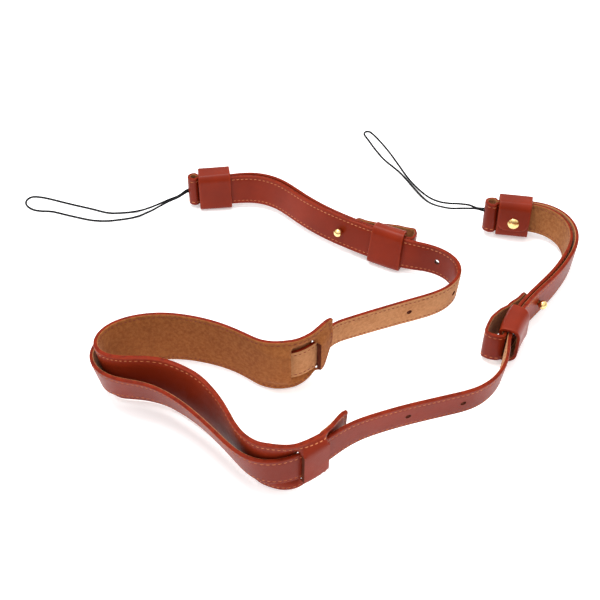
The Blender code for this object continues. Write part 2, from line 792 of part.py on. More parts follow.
def add_slide_keeper(side, band, parent, from_end):
    """The sleeve round the strap and its end strap, whose tip lies outside it. It hangs a
    little loose on the strap's grain side."""
    grain = -STRAP_FACE - side.slack
    outer = section_ring(grain - KEEPER_WALL, SLIDE_ROOM + KEEPER_WALL, KEEPER_HALF, KEEPER_CORNER)
    inner = section_ring(grain, SLIDE_ROOM, KEEPER_ROOM, GAP)
    count = round(KEEPER_LENGTH / RUN_STEP)
    start = side.stud + STUD_TO_KEEPER
    places = [start + KEEPER_LENGTH * index / count for index in range(count + 1)]
    shape = sleeve_mesh([(place, outer, inner) for place in places])

    def bend(across, inset, height):
        return band.place(from_end(across), inset, height)

    add_bent(side.name + "_slide_keeper", shape, bend, LEATHER, parent)


def add_cord_keeper(name, band, parent, from_end):
    """The sleeve at the cord's end. Its outer ply laps over the flesh side, with round
    lower corners, and is riveted through the layers."""
    inner = section_ring(GRAIN_ROOM, CORD_ROOM, KEEPER_ROOM, GAP, -KEEPER_HALF + FLAP_FOOT)
    sections = []
    steps = [FLAP_CORNER * share for share in (0, 0.15, 0.5, 1)]
    steps += [KEEPER_LENGTH / 2]
    steps += [KEEPER_LENGTH - step for step in reversed(steps[:-1])]
    for step in steps:
        side = max(FLAP_CORNER - min(step, KEEPER_LENGTH - step), 0)
        lift = FLAP_CORNER - math.sqrt(FLAP_CORNER**2 - side**2)
        foot = -KEEPER_HALF + FLAP_FOOT + lift
        outer = section_ring(
            GRAIN_ROOM - KEEPER_WALL, FLAP_FACE, KEEPER_HALF, KEEPER_CORNER, foot, KEEPER_WALL
        )
        sections.append((step - KEEPER_LIP, outer, inner))
    hole = POST_RADIUS + POST_GAP
    drill = drill_mesh(rivet_across(), -RIVET_BELOW, hole, 2 * KEEPER_WALL, FLAP_FACE)
    shape = cut_away(sleeve_mesh(sections), [drill])

    def bend(across, inset, height):
        return band.place(from_end(across), inset, height)

    add_bent(name, shape, bend, LEATHER, parent)


def add_turned(name, rings, matrix, parent):
    """A round piece of brass, turned about the inset's direction."""
    points = []
    for ring in rings:
        turns = [2 * math.pi * index / TURNED_SIDES for index in range(TURNED_SIDES)]
        points.append(
            [(ring.radius * math.cos(turn), ring.along, ring.radius * math.sin(turn)) for turn in turns]
        )
    mesh = stored(ringed_mesh(points))
    mesh.shade_smooth()
    mesh.set_sharp_from_angle(angle=math.radians(40))
    node = add_node(name, mesh, BRASS, parent)
    node.matrix_local = matrix


def add_stud(name, band, parent, station):
    """A ball stud: a flat base behind the end strap, a post and a ball on the grain side."""
    base = FIRST_LAYER + END_THICK / 2 + GAP
    ball = GRAIN_ROOM - BALL_RADIUS
    rings = [
        Ring(STUD_BASE_RADIUS - STUD_BASE_EDGE, base + STUD_BASE_THICK),
        Ring(STUD_BASE_RADIUS, base + STUD_BASE_THICK - STUD_BASE_EDGE),
        Ring(STUD_BASE_RADIUS, base),
        Ring(POST_RADIUS, base),
    ]
    neck = math.asin(POST_RADIUS / BALL_RADIUS)
    for index in range(BALL_STEPS):
        angle = neck + (math.pi - neck) * index / BALL_STEPS
        rings.append(Ring(BALL_RADIUS * math.sin(angle), ball + BALL_RADIUS * math.cos(angle)))
    rings.append(Ring(POLE_RADIUS, ball - BALL_RADIUS))
    add_turned(name, rings, band.matrix(station, 0, 0), parent)


def add_rivet(name, band, parent, station):
    """A domed rivet through the cord keeper's lapped side."""
    foot = FLAP_FACE + GAP
    end = STRAP_FACE + POST_GAP
    rings = [
        Ring(POST_RADIUS, end),
        Ring(POST_RADIUS, foot),
        Ring(RIVET_RADIUS, foot),
    ]
    for share in (0.25, 0.5, 0.72, 0.88, 0.97):
        radius = RIVET_RADIUS * math.sqrt(1 - share * share)
        rings.append(Ring(radius, foot + RIVET_HEIGHT * share))
    rings.append(Ring(POLE_RADIUS, foot + RIVET_HEIGHT))
    add_turned(name, rings, band.matrix(station, 0, -RIVET_BELOW), parent)


def smooth_way(points):
    """A smooth closed-in curve through route points, sampled evenly."""
    points = np.array(points)
    before = np.concatenate([[2 * points[0] - points[1]], points[:-1]])
    after = np.concatenate([points[1:], [2 * points[-1] - points[-2]]])
    slopes = (after - before) / 2
    fine = []
    for index in range(len(points) - 1):
        for share in np.linspace(0, 1, 12, endpoint=False):
            start, end = points[index], points[index + 1]
            square, cube = share**2, share**3
            fine.append(
                (2 * cube - 3 * square + 1) * start
                + (cube - 2 * square + share) * slopes[index]
                + (3 * square - 2 * cube) * end
                + (cube - square) * slopes[index + 1]
            )
    fine = np.array([*fine, points[-1]])
    runs = np.concatenate([[0], np.cumsum(np.linalg.norm(np.diff(fine, axis=0), axis=1))])
    even = np.linspace(0, runs[-1], CORD_POINTS)
    return np.stack([np.interp(even, runs, fine[:, axis]) for axis in range(3)], axis=1)


def add_cord(side, band, parent, fold, from_end):
    """A thin cord: knotted inside the fold, out through its hole, round a loop and back."""
    apex, inset = fold.point(fold_turning(fold), 0)
    origin = band.place(from_end(apex), inset, 0)
    knot = apex + CORD_FOLD_RADIUS
    ends = []
    for turn in (1, -1):
        stops = (
            (knot, KNOT_SPLIT),
            (knot - KNOT_LENGTH, KNOT_SPLIT),
            (apex + CORD_SQUARE, CORD_SPLIT),
            (apex - CORD_SQUARE, CORD_SPLIT),
        )
        ends.append(
            [band.place(from_end(across), inset, side.hole + turn * off) for across, off in stops]
        )
    outer = [Vector((origin.x + row.away, origin.y + row.aside, row.high)) for row in side.way]
    route = smooth_way([*ends[0][2:], *outer, *reversed(ends[1][2:])])
    points = [*ends[0][:2], *map(Vector, route), *reversed(ends[1][:2])]
    curve = bpy.data.curves.new(side.name + "_cord", "CURVE")
    curve.dimensions = "3D"
    curve.bevel_depth = CORD_RADIUS
    curve.bevel_resolution = 2
    curve.use_fill_caps = True
    spline = curve.splines.new("POLY")
    spline.points.add(len(points) - 1)
    for index, point in enumerate(points):
        knotted = index < 2 or index >= len(points) - 2
        spline.points[index].co = (*point, 1)
        spline.points[index].radius = KNOT_RADIUS / CORD_RADIUS if knotted else 1
    add_node(side.name + "_cord", curve, CORD_BLACK, parent)


def recentre(root, apart):
    """Sets the root so that the strap, less its cords, stands over the origin."""
    bpy.context.view_layer.update()
    corners = []
    for node in root.children:
        if node.name not in apart:
            corners += [node.matrix_world @ vertex.co for vertex in node.data.vertices]
    low = Vector([min(corner[axis] for corner in corners) for axis in range(3)])
    high = Vector([max(corner[axis] for corner in corners) for axis in range(3)])
    root.location = (-(low.x + high.x) / 2, -(low.y + high.y) / 2, -low.z)


def build():
    """The whole strap."""
    remove_startup_objects()
    root = bpy.data.objects.new("strap_root", None)
    bpy.context.scene.collection.objects.link(root)
    band = Band()
    add_main_strap(band, root)
    add_shoulder_pad(band, root)
    left = Side(
        name="left",
        stud=STUD_FROM_LEFT,
        reach=LEFT_REACH,
        belly=LEFT_BELLY,
        slack=LEFT_SLIDE_SLACK,
        hole=LEFT_CORD_RISE,
        way=LEFT_WAY,
    )
    right = Side(
        name="right",
        stud=STUD_FROM_RIGHT,
        reach=RIGHT_REACH,
        belly=RIGHT_BELLY,
        slack=RIGHT_SLIDE_SLACK,
        hole=RIGHT_CORD_RISE,
        way=RIGHT_WAY,
    )
    sides = ((left, lambda across: across), (right, lambda across: STRAP_LENGTH - across))
    for side, from_end in sides:
        fold = end_strap_fold(side)
        add_end_strap(side, band, root, fold, from_end)
        add_cord_keeper(side.name + "_cord_keeper", band, root, from_end)
        add_slide_keeper(side, band, root, from_end)
        add_stud(side.name + "_stud", band, root, from_end(side.stud))
        add_rivet(side.name + "_rivet", band, root, from_end(rivet_across()))
        add_cord(side, band, root, fold, from_end)
    recentre(root, ("left_cord", "right_cord"))


build()
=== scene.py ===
# %% [markdown]
# # A leather camera shoulder strap
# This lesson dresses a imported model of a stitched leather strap, which stands on its edges as
# somebody laid it down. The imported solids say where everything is. Here each soft solid is made
# again as real leather: a flat blank with rounded edges, punched, stitched, and then bent round.

from collections import namedtuple
import json
import math

import bpy
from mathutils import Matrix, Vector
import numpy as np

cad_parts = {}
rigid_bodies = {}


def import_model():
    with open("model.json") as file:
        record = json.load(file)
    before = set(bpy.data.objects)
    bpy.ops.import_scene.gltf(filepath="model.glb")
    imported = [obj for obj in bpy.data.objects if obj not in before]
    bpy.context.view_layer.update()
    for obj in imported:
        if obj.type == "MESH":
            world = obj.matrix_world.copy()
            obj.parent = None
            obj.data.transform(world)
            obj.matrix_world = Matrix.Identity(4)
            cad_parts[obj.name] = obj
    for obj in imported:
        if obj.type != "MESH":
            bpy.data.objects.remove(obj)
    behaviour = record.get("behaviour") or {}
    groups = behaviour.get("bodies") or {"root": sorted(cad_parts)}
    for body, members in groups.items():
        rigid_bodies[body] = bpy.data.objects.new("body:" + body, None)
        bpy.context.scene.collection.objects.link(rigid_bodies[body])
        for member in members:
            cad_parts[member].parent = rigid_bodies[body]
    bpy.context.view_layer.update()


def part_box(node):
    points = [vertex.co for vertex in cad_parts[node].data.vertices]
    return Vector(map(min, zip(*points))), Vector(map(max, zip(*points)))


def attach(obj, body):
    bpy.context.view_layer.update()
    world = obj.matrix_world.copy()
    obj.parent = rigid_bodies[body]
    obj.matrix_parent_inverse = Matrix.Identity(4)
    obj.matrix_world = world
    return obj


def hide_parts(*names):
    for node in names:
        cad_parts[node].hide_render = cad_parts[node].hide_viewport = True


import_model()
scene = bpy.context.scene

# %% [markdown]
# ## The camera
# A product photograph of a long strap is taken from some way off, looking down at 45 degrees,
# so that the standing leather shows its faces and the loop of the strap shows its plan.

# %% The camera
camera_data = bpy.data.cameras.new("camera")
camera_data.sensor_width = 36
camera_data.lens = 69.6
camera = bpy.data.objects.new("camera", camera_data)
scene.collection.objects.link(camera)
camera.location = (-0.0300, -0.5047, 0.5289)
camera.rotation_euler = (math.radians(45), 0, 0)
scene.camera = camera
print("camera at", tuple(camera.location))

# %% [markdown]
# ## The way that the strap takes
# A strap on its edge can bend to the left and right but never along its own face, so its middle
# line is told by headings: at shares of its length it heads some way and leans a little. Every
# other piece is set out along this line. A station is the distance from its left end, an inset
# is measured towards the flesh side, and a height is measured up from the centre line.

# %% The route
STRAP_LENGTH = 0.9572
STRAP_WIDTH = 0.0215
STRAP_THICK = 0.0028
KEEPER_WALL = 0.0021
KEEPER_SLACK = 0.0005
PAD_WIDTH = 0.0415
FOOT_REACH = 0.006
BAND_STEP = 0.0005
BAND_BLEND = 0.016
BAND_MARGIN = 0.020
KEEPER_ROOM = STRAP_WIDTH / 2 + KEEPER_SLACK
KEEPER_HALF = KEEPER_ROOM + KEEPER_WALL

Bend = namedtuple("Bend", "share heading lean rise")
ROUTE = [Bend(*row) for row in (
    (0, 5, -5, 0), (0.029, 8, -10, 0), (0.059, -41, -9, 0), (0.071, -48, -9, 0),
    (0.11, -34, -15, 0), (0.161, -26, -15, 0), (0.173, -7, -9, 0), (0.186, -26, -4, 0.01),
    (0.201, -59, -4, 0.03), (0.217, -113, -5, 0.08), (0.233, -143, -5, 0.16),
    (0.248, -157, -5, 0.28), (0.313, -154, -9, 0.74), (0.323, -106, -3, 0.72),
    (0.335, -131, 0, 0.84), (0.349, -149, 0, 0.96), (0.362, -201, 0, 1), (0.376, -218, 1, 1),
    (0.402, -203, 2, 1), (0.428, -188, 2, 1), (0.456, -163, 4, 1), (0.478, -131, 8, 1),
    (0.493, -88, 12, 1), (0.51, -30, 10, 1), (0.524, -4, 16, 1), (0.548, -32, 18, 1),
    (0.577, -47, 19, 1), (0.605, -52, 17, 1), (0.618, -41, 12, 1), (0.635, 7, 3, 1),
    (0.657, 39, 0, 1), (0.68, 41, 3, 1), (0.7, 26, 8, 0.75), (0.738, 19, 9, 0.35),
    (0.763, 18, 9, 0.18), (0.788, 53, 9, 0.06), (0.809, 79, 6, 0), (0.823, 72, 0, 0),
    (0.848, 56, 0, 0), (0.875, 47, 0, 0), (0.894, 53, 3, 0), (0.92, 64, 4, 0), (0.941, 96, 6, 0),
    (0.963, 144, 9, 0), (0.976, 170, 10, 0), (1, 172, 10, 0),
)]


def column(rows, name, shares):
    """One column of a table, read at shares between its rows."""
    return np.interp(shares, [row.share for row in rows], [getattr(row, name) for row in rows])


def running_mean(values, reach):
    """Values averaged over a reach to both sides, which keeps straight runs as they are."""
    padding = [(reach, reach)] + [(0, 0)] * (values.ndim - 1)
    padded = np.pad(values, padding, mode="reflect", reflect_type="odd")
    sums = np.cumsum(np.concatenate([np.zeros_like(padded[:1]), padded]), axis=0)
    width = 2 * reach + 1
    return (sums[width:] - sums[:-width]) / width


def eased(value):
    """Runs from 0 to 1, level at both ends."""
    value = np.clip(value, 0, 1)
    return value * value * (3 - 2 * value)


class Band:
    """The strap's middle line, and the places round it."""

    def __init__(self):
        count = int(math.ceil((STRAP_LENGTH + 2 * BAND_MARGIN) / BAND_STEP)) + 1
        self.stations = -BAND_MARGIN + BAND_STEP * np.arange(count)
        self.heading = self.read("heading")
        self.lean = self.read("lean")
        half = KEEPER_HALF + (PAD_WIDTH / 2 - KEEPER_HALF) * np.clip(self.read("rise"), 0, 1)
        slope = np.radians(self.lean)
        self.centre = half * np.cos(slope) + FOOT_REACH * np.abs(np.sin(slope))
        middle = np.radians((self.heading[1:] + self.heading[:-1]) / 2)
        self.x = np.concatenate([[0], np.cumsum(np.cos(middle))]) * BAND_STEP
        self.y = np.concatenate([[0], np.cumsum(np.sin(middle))]) * BAND_STEP
        self.shift = np.zeros(3)

    def read(self, name):
        """One column of the route, with its corners turned into gentle curves."""
        values = column(ROUTE, name, self.stations / STRAP_LENGTH)
        return running_mean(values, round(BAND_BLEND / BAND_STEP / 2))

    def place(self, station, inset, height, aside=0):
        """Points of the bent strap. What would sink through the floor is flattened on it."""
        station, inset, height, aside = np.broadcast_arrays(station, inset, height, aside)
        x, y, heading, lean, centre = (
            np.interp(station, self.stations, values)
            for values in (self.x, self.y, self.heading, self.lean, self.centre)
        )
        turn, slope = np.radians(heading), np.radians(lean)
        level = np.stack([-np.sin(turn), np.cos(turn), 0 * turn], axis=-1)
        up = np.array([0, 0, 1.0])
        inward = level * np.cos(slope)[..., None] + up * np.sin(slope)[..., None]
        upward = up * np.cos(slope)[..., None] - level * np.sin(slope)[..., None]
        origin = np.stack([x, y, centre], axis=-1)
        point = origin + inward * inset[..., None] + upward * height[..., None]
        point = point + level * aside[..., None]
        point[..., 2] = np.maximum(point[..., 2], 0)
        return point + self.shift


band = Band()
along = np.linspace(0, STRAP_LENGTH, 1200)
corners = [
    band.place(along, across * STRAP_THICK / 2, high * STRAP_WIDTH / 2)
    for across in (-1, 1)
    for high in (-1, 1)
]
low, high = np.concatenate(corners).min(axis=0), np.concatenate(corners).max(axis=0)
packed_low, packed_high = (np.array(corner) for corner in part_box("main_strap"))
band.shift = packed_low - low
band.shift[0] = (packed_low[0] + packed_high[0] - low[0] - high[0]) / 2
print("strap's box differs by mm:", np.round(1000 * (packed_high - packed_low - high + low), 2))

# %% [markdown]
# ## The end straps' fold
# At each end a narrow strap holds the cord. It starts at a rounded tip outside the sliding
# keeper, folds back through it, passes under the stud, and folds again round the cord. The fold
# is one middle line in plan, drawn through corners and then smoothed.

# %% The fold's middle line
END_THICK = 0.0026
GAP = 0.0003
KEEPER_LENGTH = 0.022
KEEPER_LIP = 0.0015
LOOP_REACH = 0.0006
TIP_LAP = 0.0180
TAIL_SHORT = 0.0030
MID_SLACK = 0.0009
STUD_TO_KEEPER = 0.0230
STUD_BASE_RADIUS = 0.0040
FOLD_CORNERS = 12
FOLD_SWEEP = 230
FOLD_STEP = 0.0002
FOLD_BLEND = 0.0016
STRAP_FACE = STRAP_THICK / 2
FIRST_LAYER = STRAP_FACE + GAP + END_THICK / 2
SECOND_LAYER = FIRST_LAYER + END_THICK + GAP
GRAIN_ROOM = -STRAP_FACE - GAP
SLIDE_ROOM = FIRST_LAYER + END_THICK / 2 + GAP
CORD_ROOM = SECOND_LAYER + END_THICK / 2 + GAP
OVER_SLIDE = SLIDE_ROOM + KEEPER_WALL + GAP + END_THICK / 2
FLAP_FACE = CORD_ROOM + 2 * KEEPER_WALL

Belly = namedtuple("Belly", "share reach rise out")
SLIDE_FOLD = [Belly(*row) for row in (
    (0, 0, 1, 0), (0.2, 0, 1, 0.42), (0.55, 0, 1, 0.86), (1, 0.1, 1, 1), (1, 0.7, 0.95, 0.98),
    (1, 1.05, 0.65, 0.55), (1, 0.95, 0.35, 0.05), (1, 0.55, 0, 0),
)]


def runs_along(points):
    """The distance along a line to each of its points."""
    return np.concatenate([[0], np.cumsum(np.linalg.norm(np.diff(points, axis=0), axis=1))])


def sampled(points, places):
    """A line's points at distances along it."""
    runs = runs_along(points)
    return np.stack([np.interp(places, runs, values) for values in points.T], axis=-1)


class Line:
    """A line in a plane, measured along its run."""

    def __init__(self, points):
        self.points = np.array(points, float)
        self.run = runs_along(self.points)
        slope = np.gradient(self.points, self.run, axis=0)
        self.turn = np.unwrap(np.arctan2(slope[:, 1], slope[:, 0]))
        self.length = float(self.run[-1])
        first = self.points[:, 0]
        self.apex, self.far = float(self.run[np.argmin(first)]), float(self.run[np.argmax(first)])

    def at(self, run, off):
        """The points at runs, set off to the line's left."""
        first, second, turn = (
            np.interp(run, self.run, values)
            for values in (self.points[:, 0], self.points[:, 1], self.turn)
        )
        return first - off * np.sin(turn), second + off * np.cos(turn)

    def passes(self, first, after, before):
        """The run, within limits, at which the line passes a value of its first axis."""
        inside = (self.run > after) & (self.run < before)
        return float(self.run[int(np.argmin(np.abs(self.points[:, 0] - first) + 10 * ~inside))])


def rounded_line(points, step, blend, rounds):
    """A line through corners, rounded off."""
    points = np.array(points, float)
    length = runs_along(points)[-1]
    line = sampled(points, np.linspace(0, length, int(length / step)))
    for _ in range(rounds):
        line = running_mean(line, round(blend / step / 2))
    return Line(line)


# Distances from the strap's own end: the stud, how far the slide fold reaches past its keeper
# and bellies out, the keeper's slack, the cord hole's height and the cord loop's radius.
Side = namedtuple("Side", "name stud reach belly slack hole loop to_station")
LEFT = Side("left", 0.1110, 0.0075, 0.0078, 0.0003, -0.0012, 0.0036, lambda across: across)
RIGHT = Side(
    "right", 0.1245, 0.0046, 0.0060, 0.0030, 0.0035, 0.0045, lambda across: STRAP_LENGTH - across
)


def end_fold(side):
    """An end strap's middle line, in distance from its own end and inset."""
    slide = side.stud + STUD_TO_KEEPER
    points = [(slide - TIP_LAP, SECOND_LAYER), (slide - TIP_LAP / 2, SECOND_LAYER + GAP)]
    points.append((slide - KEEPER_WALL, OVER_SLIDE))
    step = OVER_SLIDE - FIRST_LAYER
    reach = side.reach - END_THICK / 2
    for row in SLIDE_FOLD:
        across = slide + KEEPER_LENGTH * row.share + reach * row.reach
        points.append((across, FIRST_LAYER + step * row.rise + side.belly * row.out))
    for across in (slide, slide - KEEPER_WALL, side.stud + STUD_BASE_RADIUS):
        points.append((across, FIRST_LAYER))
    points.append((side.stud - STUD_BASE_RADIUS, FIRST_LAYER))
    mouth = KEEPER_LENGTH - KEEPER_LIP
    points.append(((side.stud + 2 * mouth) / 3, FIRST_LAYER + MID_SLACK))
    points.append(((side.stud + 5 * mouth) / 6, FIRST_LAYER + MID_SLACK))
    points.append((mouth, FIRST_LAYER))
    points.append((-KEEPER_LIP - END_THICK / 2, FIRST_LAYER))
    centre = -KEEPER_LIP - (side.loop - LOOP_REACH)
    middle = (FIRST_LAYER + SECOND_LAYER) / 2
    for index in range(FOLD_CORNERS + 1):
        angle = math.radians(FOLD_SWEEP * (0.5 - index / FOLD_CORNERS) - 180)
        across = centre + side.loop * math.cos(angle)
        points.append((across, middle + side.loop * math.sin(angle)))
    points.append((-KEEPER_LIP - END_THICK / 2, SECOND_LAYER))
    points.append((mouth - TAIL_SHORT, SECOND_LAYER))
    return rounded_line(points, FOLD_STEP, FOLD_BLEND, 2)


folds = {side.name: end_fold(side) for side in (LEFT, RIGHT)}
for name, fold in folds.items():
    print(name, "end strap's length in mm:", round(1000 * fold.length, 1))

# %% [markdown]
# ## Small helpers
# Blender's operators act on what is selected, so everything is deselected before each new piece.
# A finished piece is hung on the strap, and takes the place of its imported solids.

# %% Helpers
def start_alone():
    """Deselects everything, so that an operator acts on the new piece only."""
    if bpy.context.object and bpy.context.object.mode != "OBJECT":
        bpy.ops.object.mode_set(mode="OBJECT")
    bpy.ops.object.select_all(action="DESELECT")


def choose(piece):
    """Selects one piece alone."""
    start_alone()
    piece.select_set(True)
    bpy.context.view_layer.objects.active = piece


def points_of(piece):
    """A mesh's points as an array."""
    found = np.zeros(3 * len(piece.data.vertices))
    piece.data.vertices.foreach_get("co", found)
    return found.reshape(-1, 3)


def set_points(piece, points):
    """Moves a mesh's points."""
    piece.data.vertices.foreach_set("co", np.asarray(points, float).ravel())
    piece.data.update()


def paint(piece, *finishes):
    """Gives a mesh its materials, in order."""
    piece.data.materials.clear()
    for finish in finishes:
        piece.data.materials.append(finish)


def settle(piece, slot, *nodes):
    """Hangs a piece on the strap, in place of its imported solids."""
    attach(piece, "root")
    if nodes:
        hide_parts(*nodes)
    print(piece.name, "faces:", len(piece.data.polygons))


# %% [markdown]
# ## Node materials from expressions
# A finish mixes colours, roughness and relief from a few patterns. Written as Math nodes one by
# one it is hard to read, so a small class wraps a socket: adding or multiplying such values in
# Python adds the Math nodes for it.

# %% A finish and its values
class Value:
    """A socket's value. Sums and products with it add Math nodes."""

    def __init__(self, finish, socket):
        self.finish, self.socket = finish, socket

    def maths(self, operation, first, second):
        node = self.finish.add("Math", {0: first, 1: second}, operation=operation)
        return Value(self.finish, node.outputs[0])

    def __add__(self, other):
        return self.maths("ADD", self, other)

    __radd__ = __add__

    def __sub__(self, other):
        return self.maths("SUBTRACT", self, other)

    def __rsub__(self, other):
        return self.maths("SUBTRACT", other, self)

    def __mul__(self, other):
        return self.maths("MULTIPLY", self, other)

    __rmul__ = __mul__

    def between(self, low, high):
        """0 below low, 1 above high, and a soft step between them."""
        node = self.finish.add(
            "MapRange",
            {"Value": self, "From Min": low, "From Max": high},
            interpolation_type="SMOOTHSTEP",
        )
        return Value(self.finish, node.outputs[0])


class Finish:
    """A material, and a short way to add nodes to it."""

    def __init__(self, name):
        self.material = bpy.data.materials.new(name)
        self.material.use_nodes = True
        self.tree = self.material.node_tree
        self.shader = self.tree.nodes["Principled BSDF"]
        where = self.tree.nodes.new("ShaderNodeTexCoord")
        self.place = Value(self, where.outputs["Object"])
        self.flat = Value(self, where.outputs["UV"])

    def put(self, socket, value):
        """Links a value to a socket, or sets a plain number or an opaque colour on it."""
        if isinstance(value, Value):
            self.tree.links.new(value.socket, socket)
        else:
            socket.default_value = (*value, 1) if isinstance(value, tuple) else value

    def add(self, kind, sockets, **settings):
        """A node of a kind, with its settings made first."""
        node = self.tree.nodes.new("ShaderNode" + kind)
        for name, setting in settings.items():
            setattr(node, name, setting)
        for name, value in sockets.items():
            self.put(node.inputs[name], value)
        return node

    def noise(self, scale, detail=3, rough=0.5):
        """A noise value round 0.5 in object space."""
        sockets = {"Vector": self.place, "Scale": scale, "Detail": detail, "Roughness": rough}
        return Value(self, self.add("TexNoise", sockets).outputs["Fac"])

    def cells(self, scale, feature="F1"):
        """The distance to the nearest point of a scatter."""
        node = self.add("TexVoronoi", {"Vector": self.place, "Scale": scale}, feature=feature)
        return Value(self, node.outputs["Distance"])

    def mixed(self, share, first, second):
        """One colour turning into another."""
        node = self.add("Mix", {0: share, 6: first, 7: second}, data_type="RGBA")
        return Value(self, node.outputs[2])

    def relief(self, height, strength, depth):
        """Bumps the surface by a height."""
        node = self.add("Bump", {"Height": height, "Strength": strength, "Distance": depth})
        self.put(self.shader.inputs["Normal"], Value(self, node.outputs[0]))

    def attribute(self, name):
        """A number that the mesh carries at its points."""
        node = self.add("Attribute", {}, attribute_name=name)
        return Value(self, node.outputs["Fac"])

    def shade(self, **sockets):
        """Sets the shader's sockets, with spaces written as underscores."""
        for name, value in sockets.items():
            self.put(self.shader.inputs[name.replace("_", " ")], value)
        return self.material


print("a finish is ready to be mixed")

# %% [markdown]
# ## The leather's faces
# Smooth leather is coloured and pressed on its grain side: fine pores, slow clouds of darker
# dye, and edges that are rubbed lighter. The flesh side is raw and fluffy, so it has no shine
# and many small tones. The cut edge is painted and polished, and the walls of holes stay raw.

# %% Leather finishes
def grain_leather(name, dye, deep, rubbed):
    """The smooth, dyed side."""
    finish = Finish(name)
    clouds = finish.noise(28, 4, 0.55)
    fine = finish.noise(420, 3, 0.6)
    rim = finish.attribute("rim")
    colour = finish.mixed(clouds.between(0.35, 0.72), deep, dye)
    colour = finish.mixed(fine.between(0.30, 0.75) * 0.22, colour, deep)
    wear = (1 - rim.between(0.2, 1.7)) * finish.noise(160, 2).between(0.25, 0.65)
    colour = finish.mixed(wear * 0.4, colour, rubbed)
    pores = finish.cells(1500).between(0.0, 0.55)
    creases = finish.cells(620, "DISTANCE_TO_EDGE").between(0.0, 0.10)
    height = pores * 0.5 + creases * 0.35 + finish.noise(2600, 2) * 0.4
    finish.relief(height, 0.30, 0.00012)
    rough = 0.29 + 0.12 * fine + 0.08 * (1 - pores)
    return finish.shade(Base_Color=colour, Roughness=rough, Specular_IOR_Level=0.13)


def suede(name, nap, shade, lift):
    """The raw, fluffy side."""
    finish = Finish(name)
    fluff = finish.noise(1500, 5, 0.7)
    brushed = finish.noise(480, 4, 0.65)
    clouds = finish.noise(34, 3)
    colour = finish.mixed(brushed.between(0.30, 0.70), shade, nap)
    colour = finish.mixed(clouds.between(0.40, 0.75) * 0.35, colour, lift)
    colour = finish.mixed(fluff.between(0.42, 0.70) * 0.45, colour, shade)
    finish.relief(fluff * 0.8 + brushed * 0.5, 0.55, 0.0003)
    return finish.shade(
        Base_Color=colour, Roughness=0.88 + 0.1 * fluff,
        Specular_IOR_Level=0.06, Sheen_Weight=0.06, Sheen_Roughness=0.5,
    )


def painted_edge(name, paint, dark):
    """The cut edge, painted and polished."""
    finish = Finish(name)
    streaks = finish.noise(330, 3, 0.6)
    colour = finish.mixed(streaks.between(0.30, 0.62), dark, paint)
    finish.relief(streaks * 0.6 + finish.noise(1700, 2) * 0.3, 0.35, 0.0002)
    return finish.shade(Base_Color=colour, Roughness=0.42 + 0.15 * streaks, Specular_IOR_Level=0.07)


GRAIN = grain_leather(
    "grain_leather", (0.215, 0.0175, 0.0030), (0.155, 0.012, 0.0020), (0.29, 0.034, 0.009)
)
PAD_GRAIN = grain_leather(
    "pad_grain_leather", (0.25, 0.0235, 0.0055), (0.18, 0.0155, 0.0038), (0.33, 0.042, 0.012)
)
END_GRAIN = grain_leather(
    "end_grain_leather", (0.195, 0.0155, 0.0030), (0.14, 0.0105, 0.0020), (0.27, 0.030, 0.009)
)
SUEDE = suede("strap_suede", (0.49, 0.228, 0.098), (0.35, 0.150, 0.060), (0.55, 0.28, 0.13))
PAD_SUEDE = suede("pad_suede", (0.36, 0.128, 0.037), (0.23, 0.070, 0.018), (0.42, 0.165, 0.055))
END_SUEDE = suede("end_suede", (0.36, 0.145, 0.050), (0.23, 0.080, 0.026), (0.44, 0.20, 0.08))
EDGE = painted_edge("painted_edge", (0.20, 0.0165, 0.0035), (0.115, 0.009, 0.0025))
RAW_CUT = painted_edge("raw_cut", (0.11, 0.026, 0.012), (0.06, 0.012, 0.006))
print("leather finishes:", [finish.name for finish in bpy.data.materials if finish.use_nodes])

# %% [markdown]
# ## The cords
# Each end holds a thin braided cord, tied inside the fold, which leaves through one hole, runs
# down to the floor as two strands side by side and lies there in a slim loop. It is a curve with
# a round section, made from the points of its route, and its braid follows its own length.

# %% The cords
CORD_RADIUS = 0.0007
CORD_SPLIT = 0.0008
KNOT_RADIUS = 0.0011
KNOT_LENGTH = 0.0011
KNOT_SPLIT = 0.0014
CORD_SQUARE = 0.0018
CORD_POINTS = 170

Way = namedtuple("Way", "away aside high")
LEFT_WAY = [Way(*row) for row in (
    (-0.008, -0.0033, 0.0102), (-0.0149, -0.0046, 0.0078), (-0.0205, -0.0059, 0.0057),
    (-0.0275, -0.0074, 0.0033), (-0.0338, -0.0086, 0.0017), (-0.0415, -0.0095, 0.0007),
    (-0.0504, -0.0104, 0.0006), (-0.0581, -0.0099, 0.0006), (-0.0698, -0.0057, 0.0006),
    (-0.0844, -0.0008, 0.0006), (-0.0992, 0.0046, 0.0006), (-0.107, 0.0068, 0.0006),
    (-0.1123, 0.0071, 0.0006), (-0.1152, 0.005, 0.0006), (-0.1163, 0.0016, 0.0006),
    (-0.1146, -0.0028, 0.0006), (-0.11, -0.0066, 0.0006), (-0.1042, -0.0082, 0.0006),
    (-0.0958, -0.0089, 0.0006), (-0.0832, -0.0132, 0.0006), (-0.0682, -0.0178, 0.0006),
    (-0.0572, -0.0187, 0.0006), (-0.0476, -0.0173, 0.0006), (-0.0402, -0.0155, 0.0006),
    (-0.034, -0.0136, 0.0013), (-0.0272, -0.011, 0.003), (-0.0204, -0.0081, 0.0053),
    (-0.0148, -0.006, 0.0074), (-0.0082, -0.0042, 0.0096),
)]
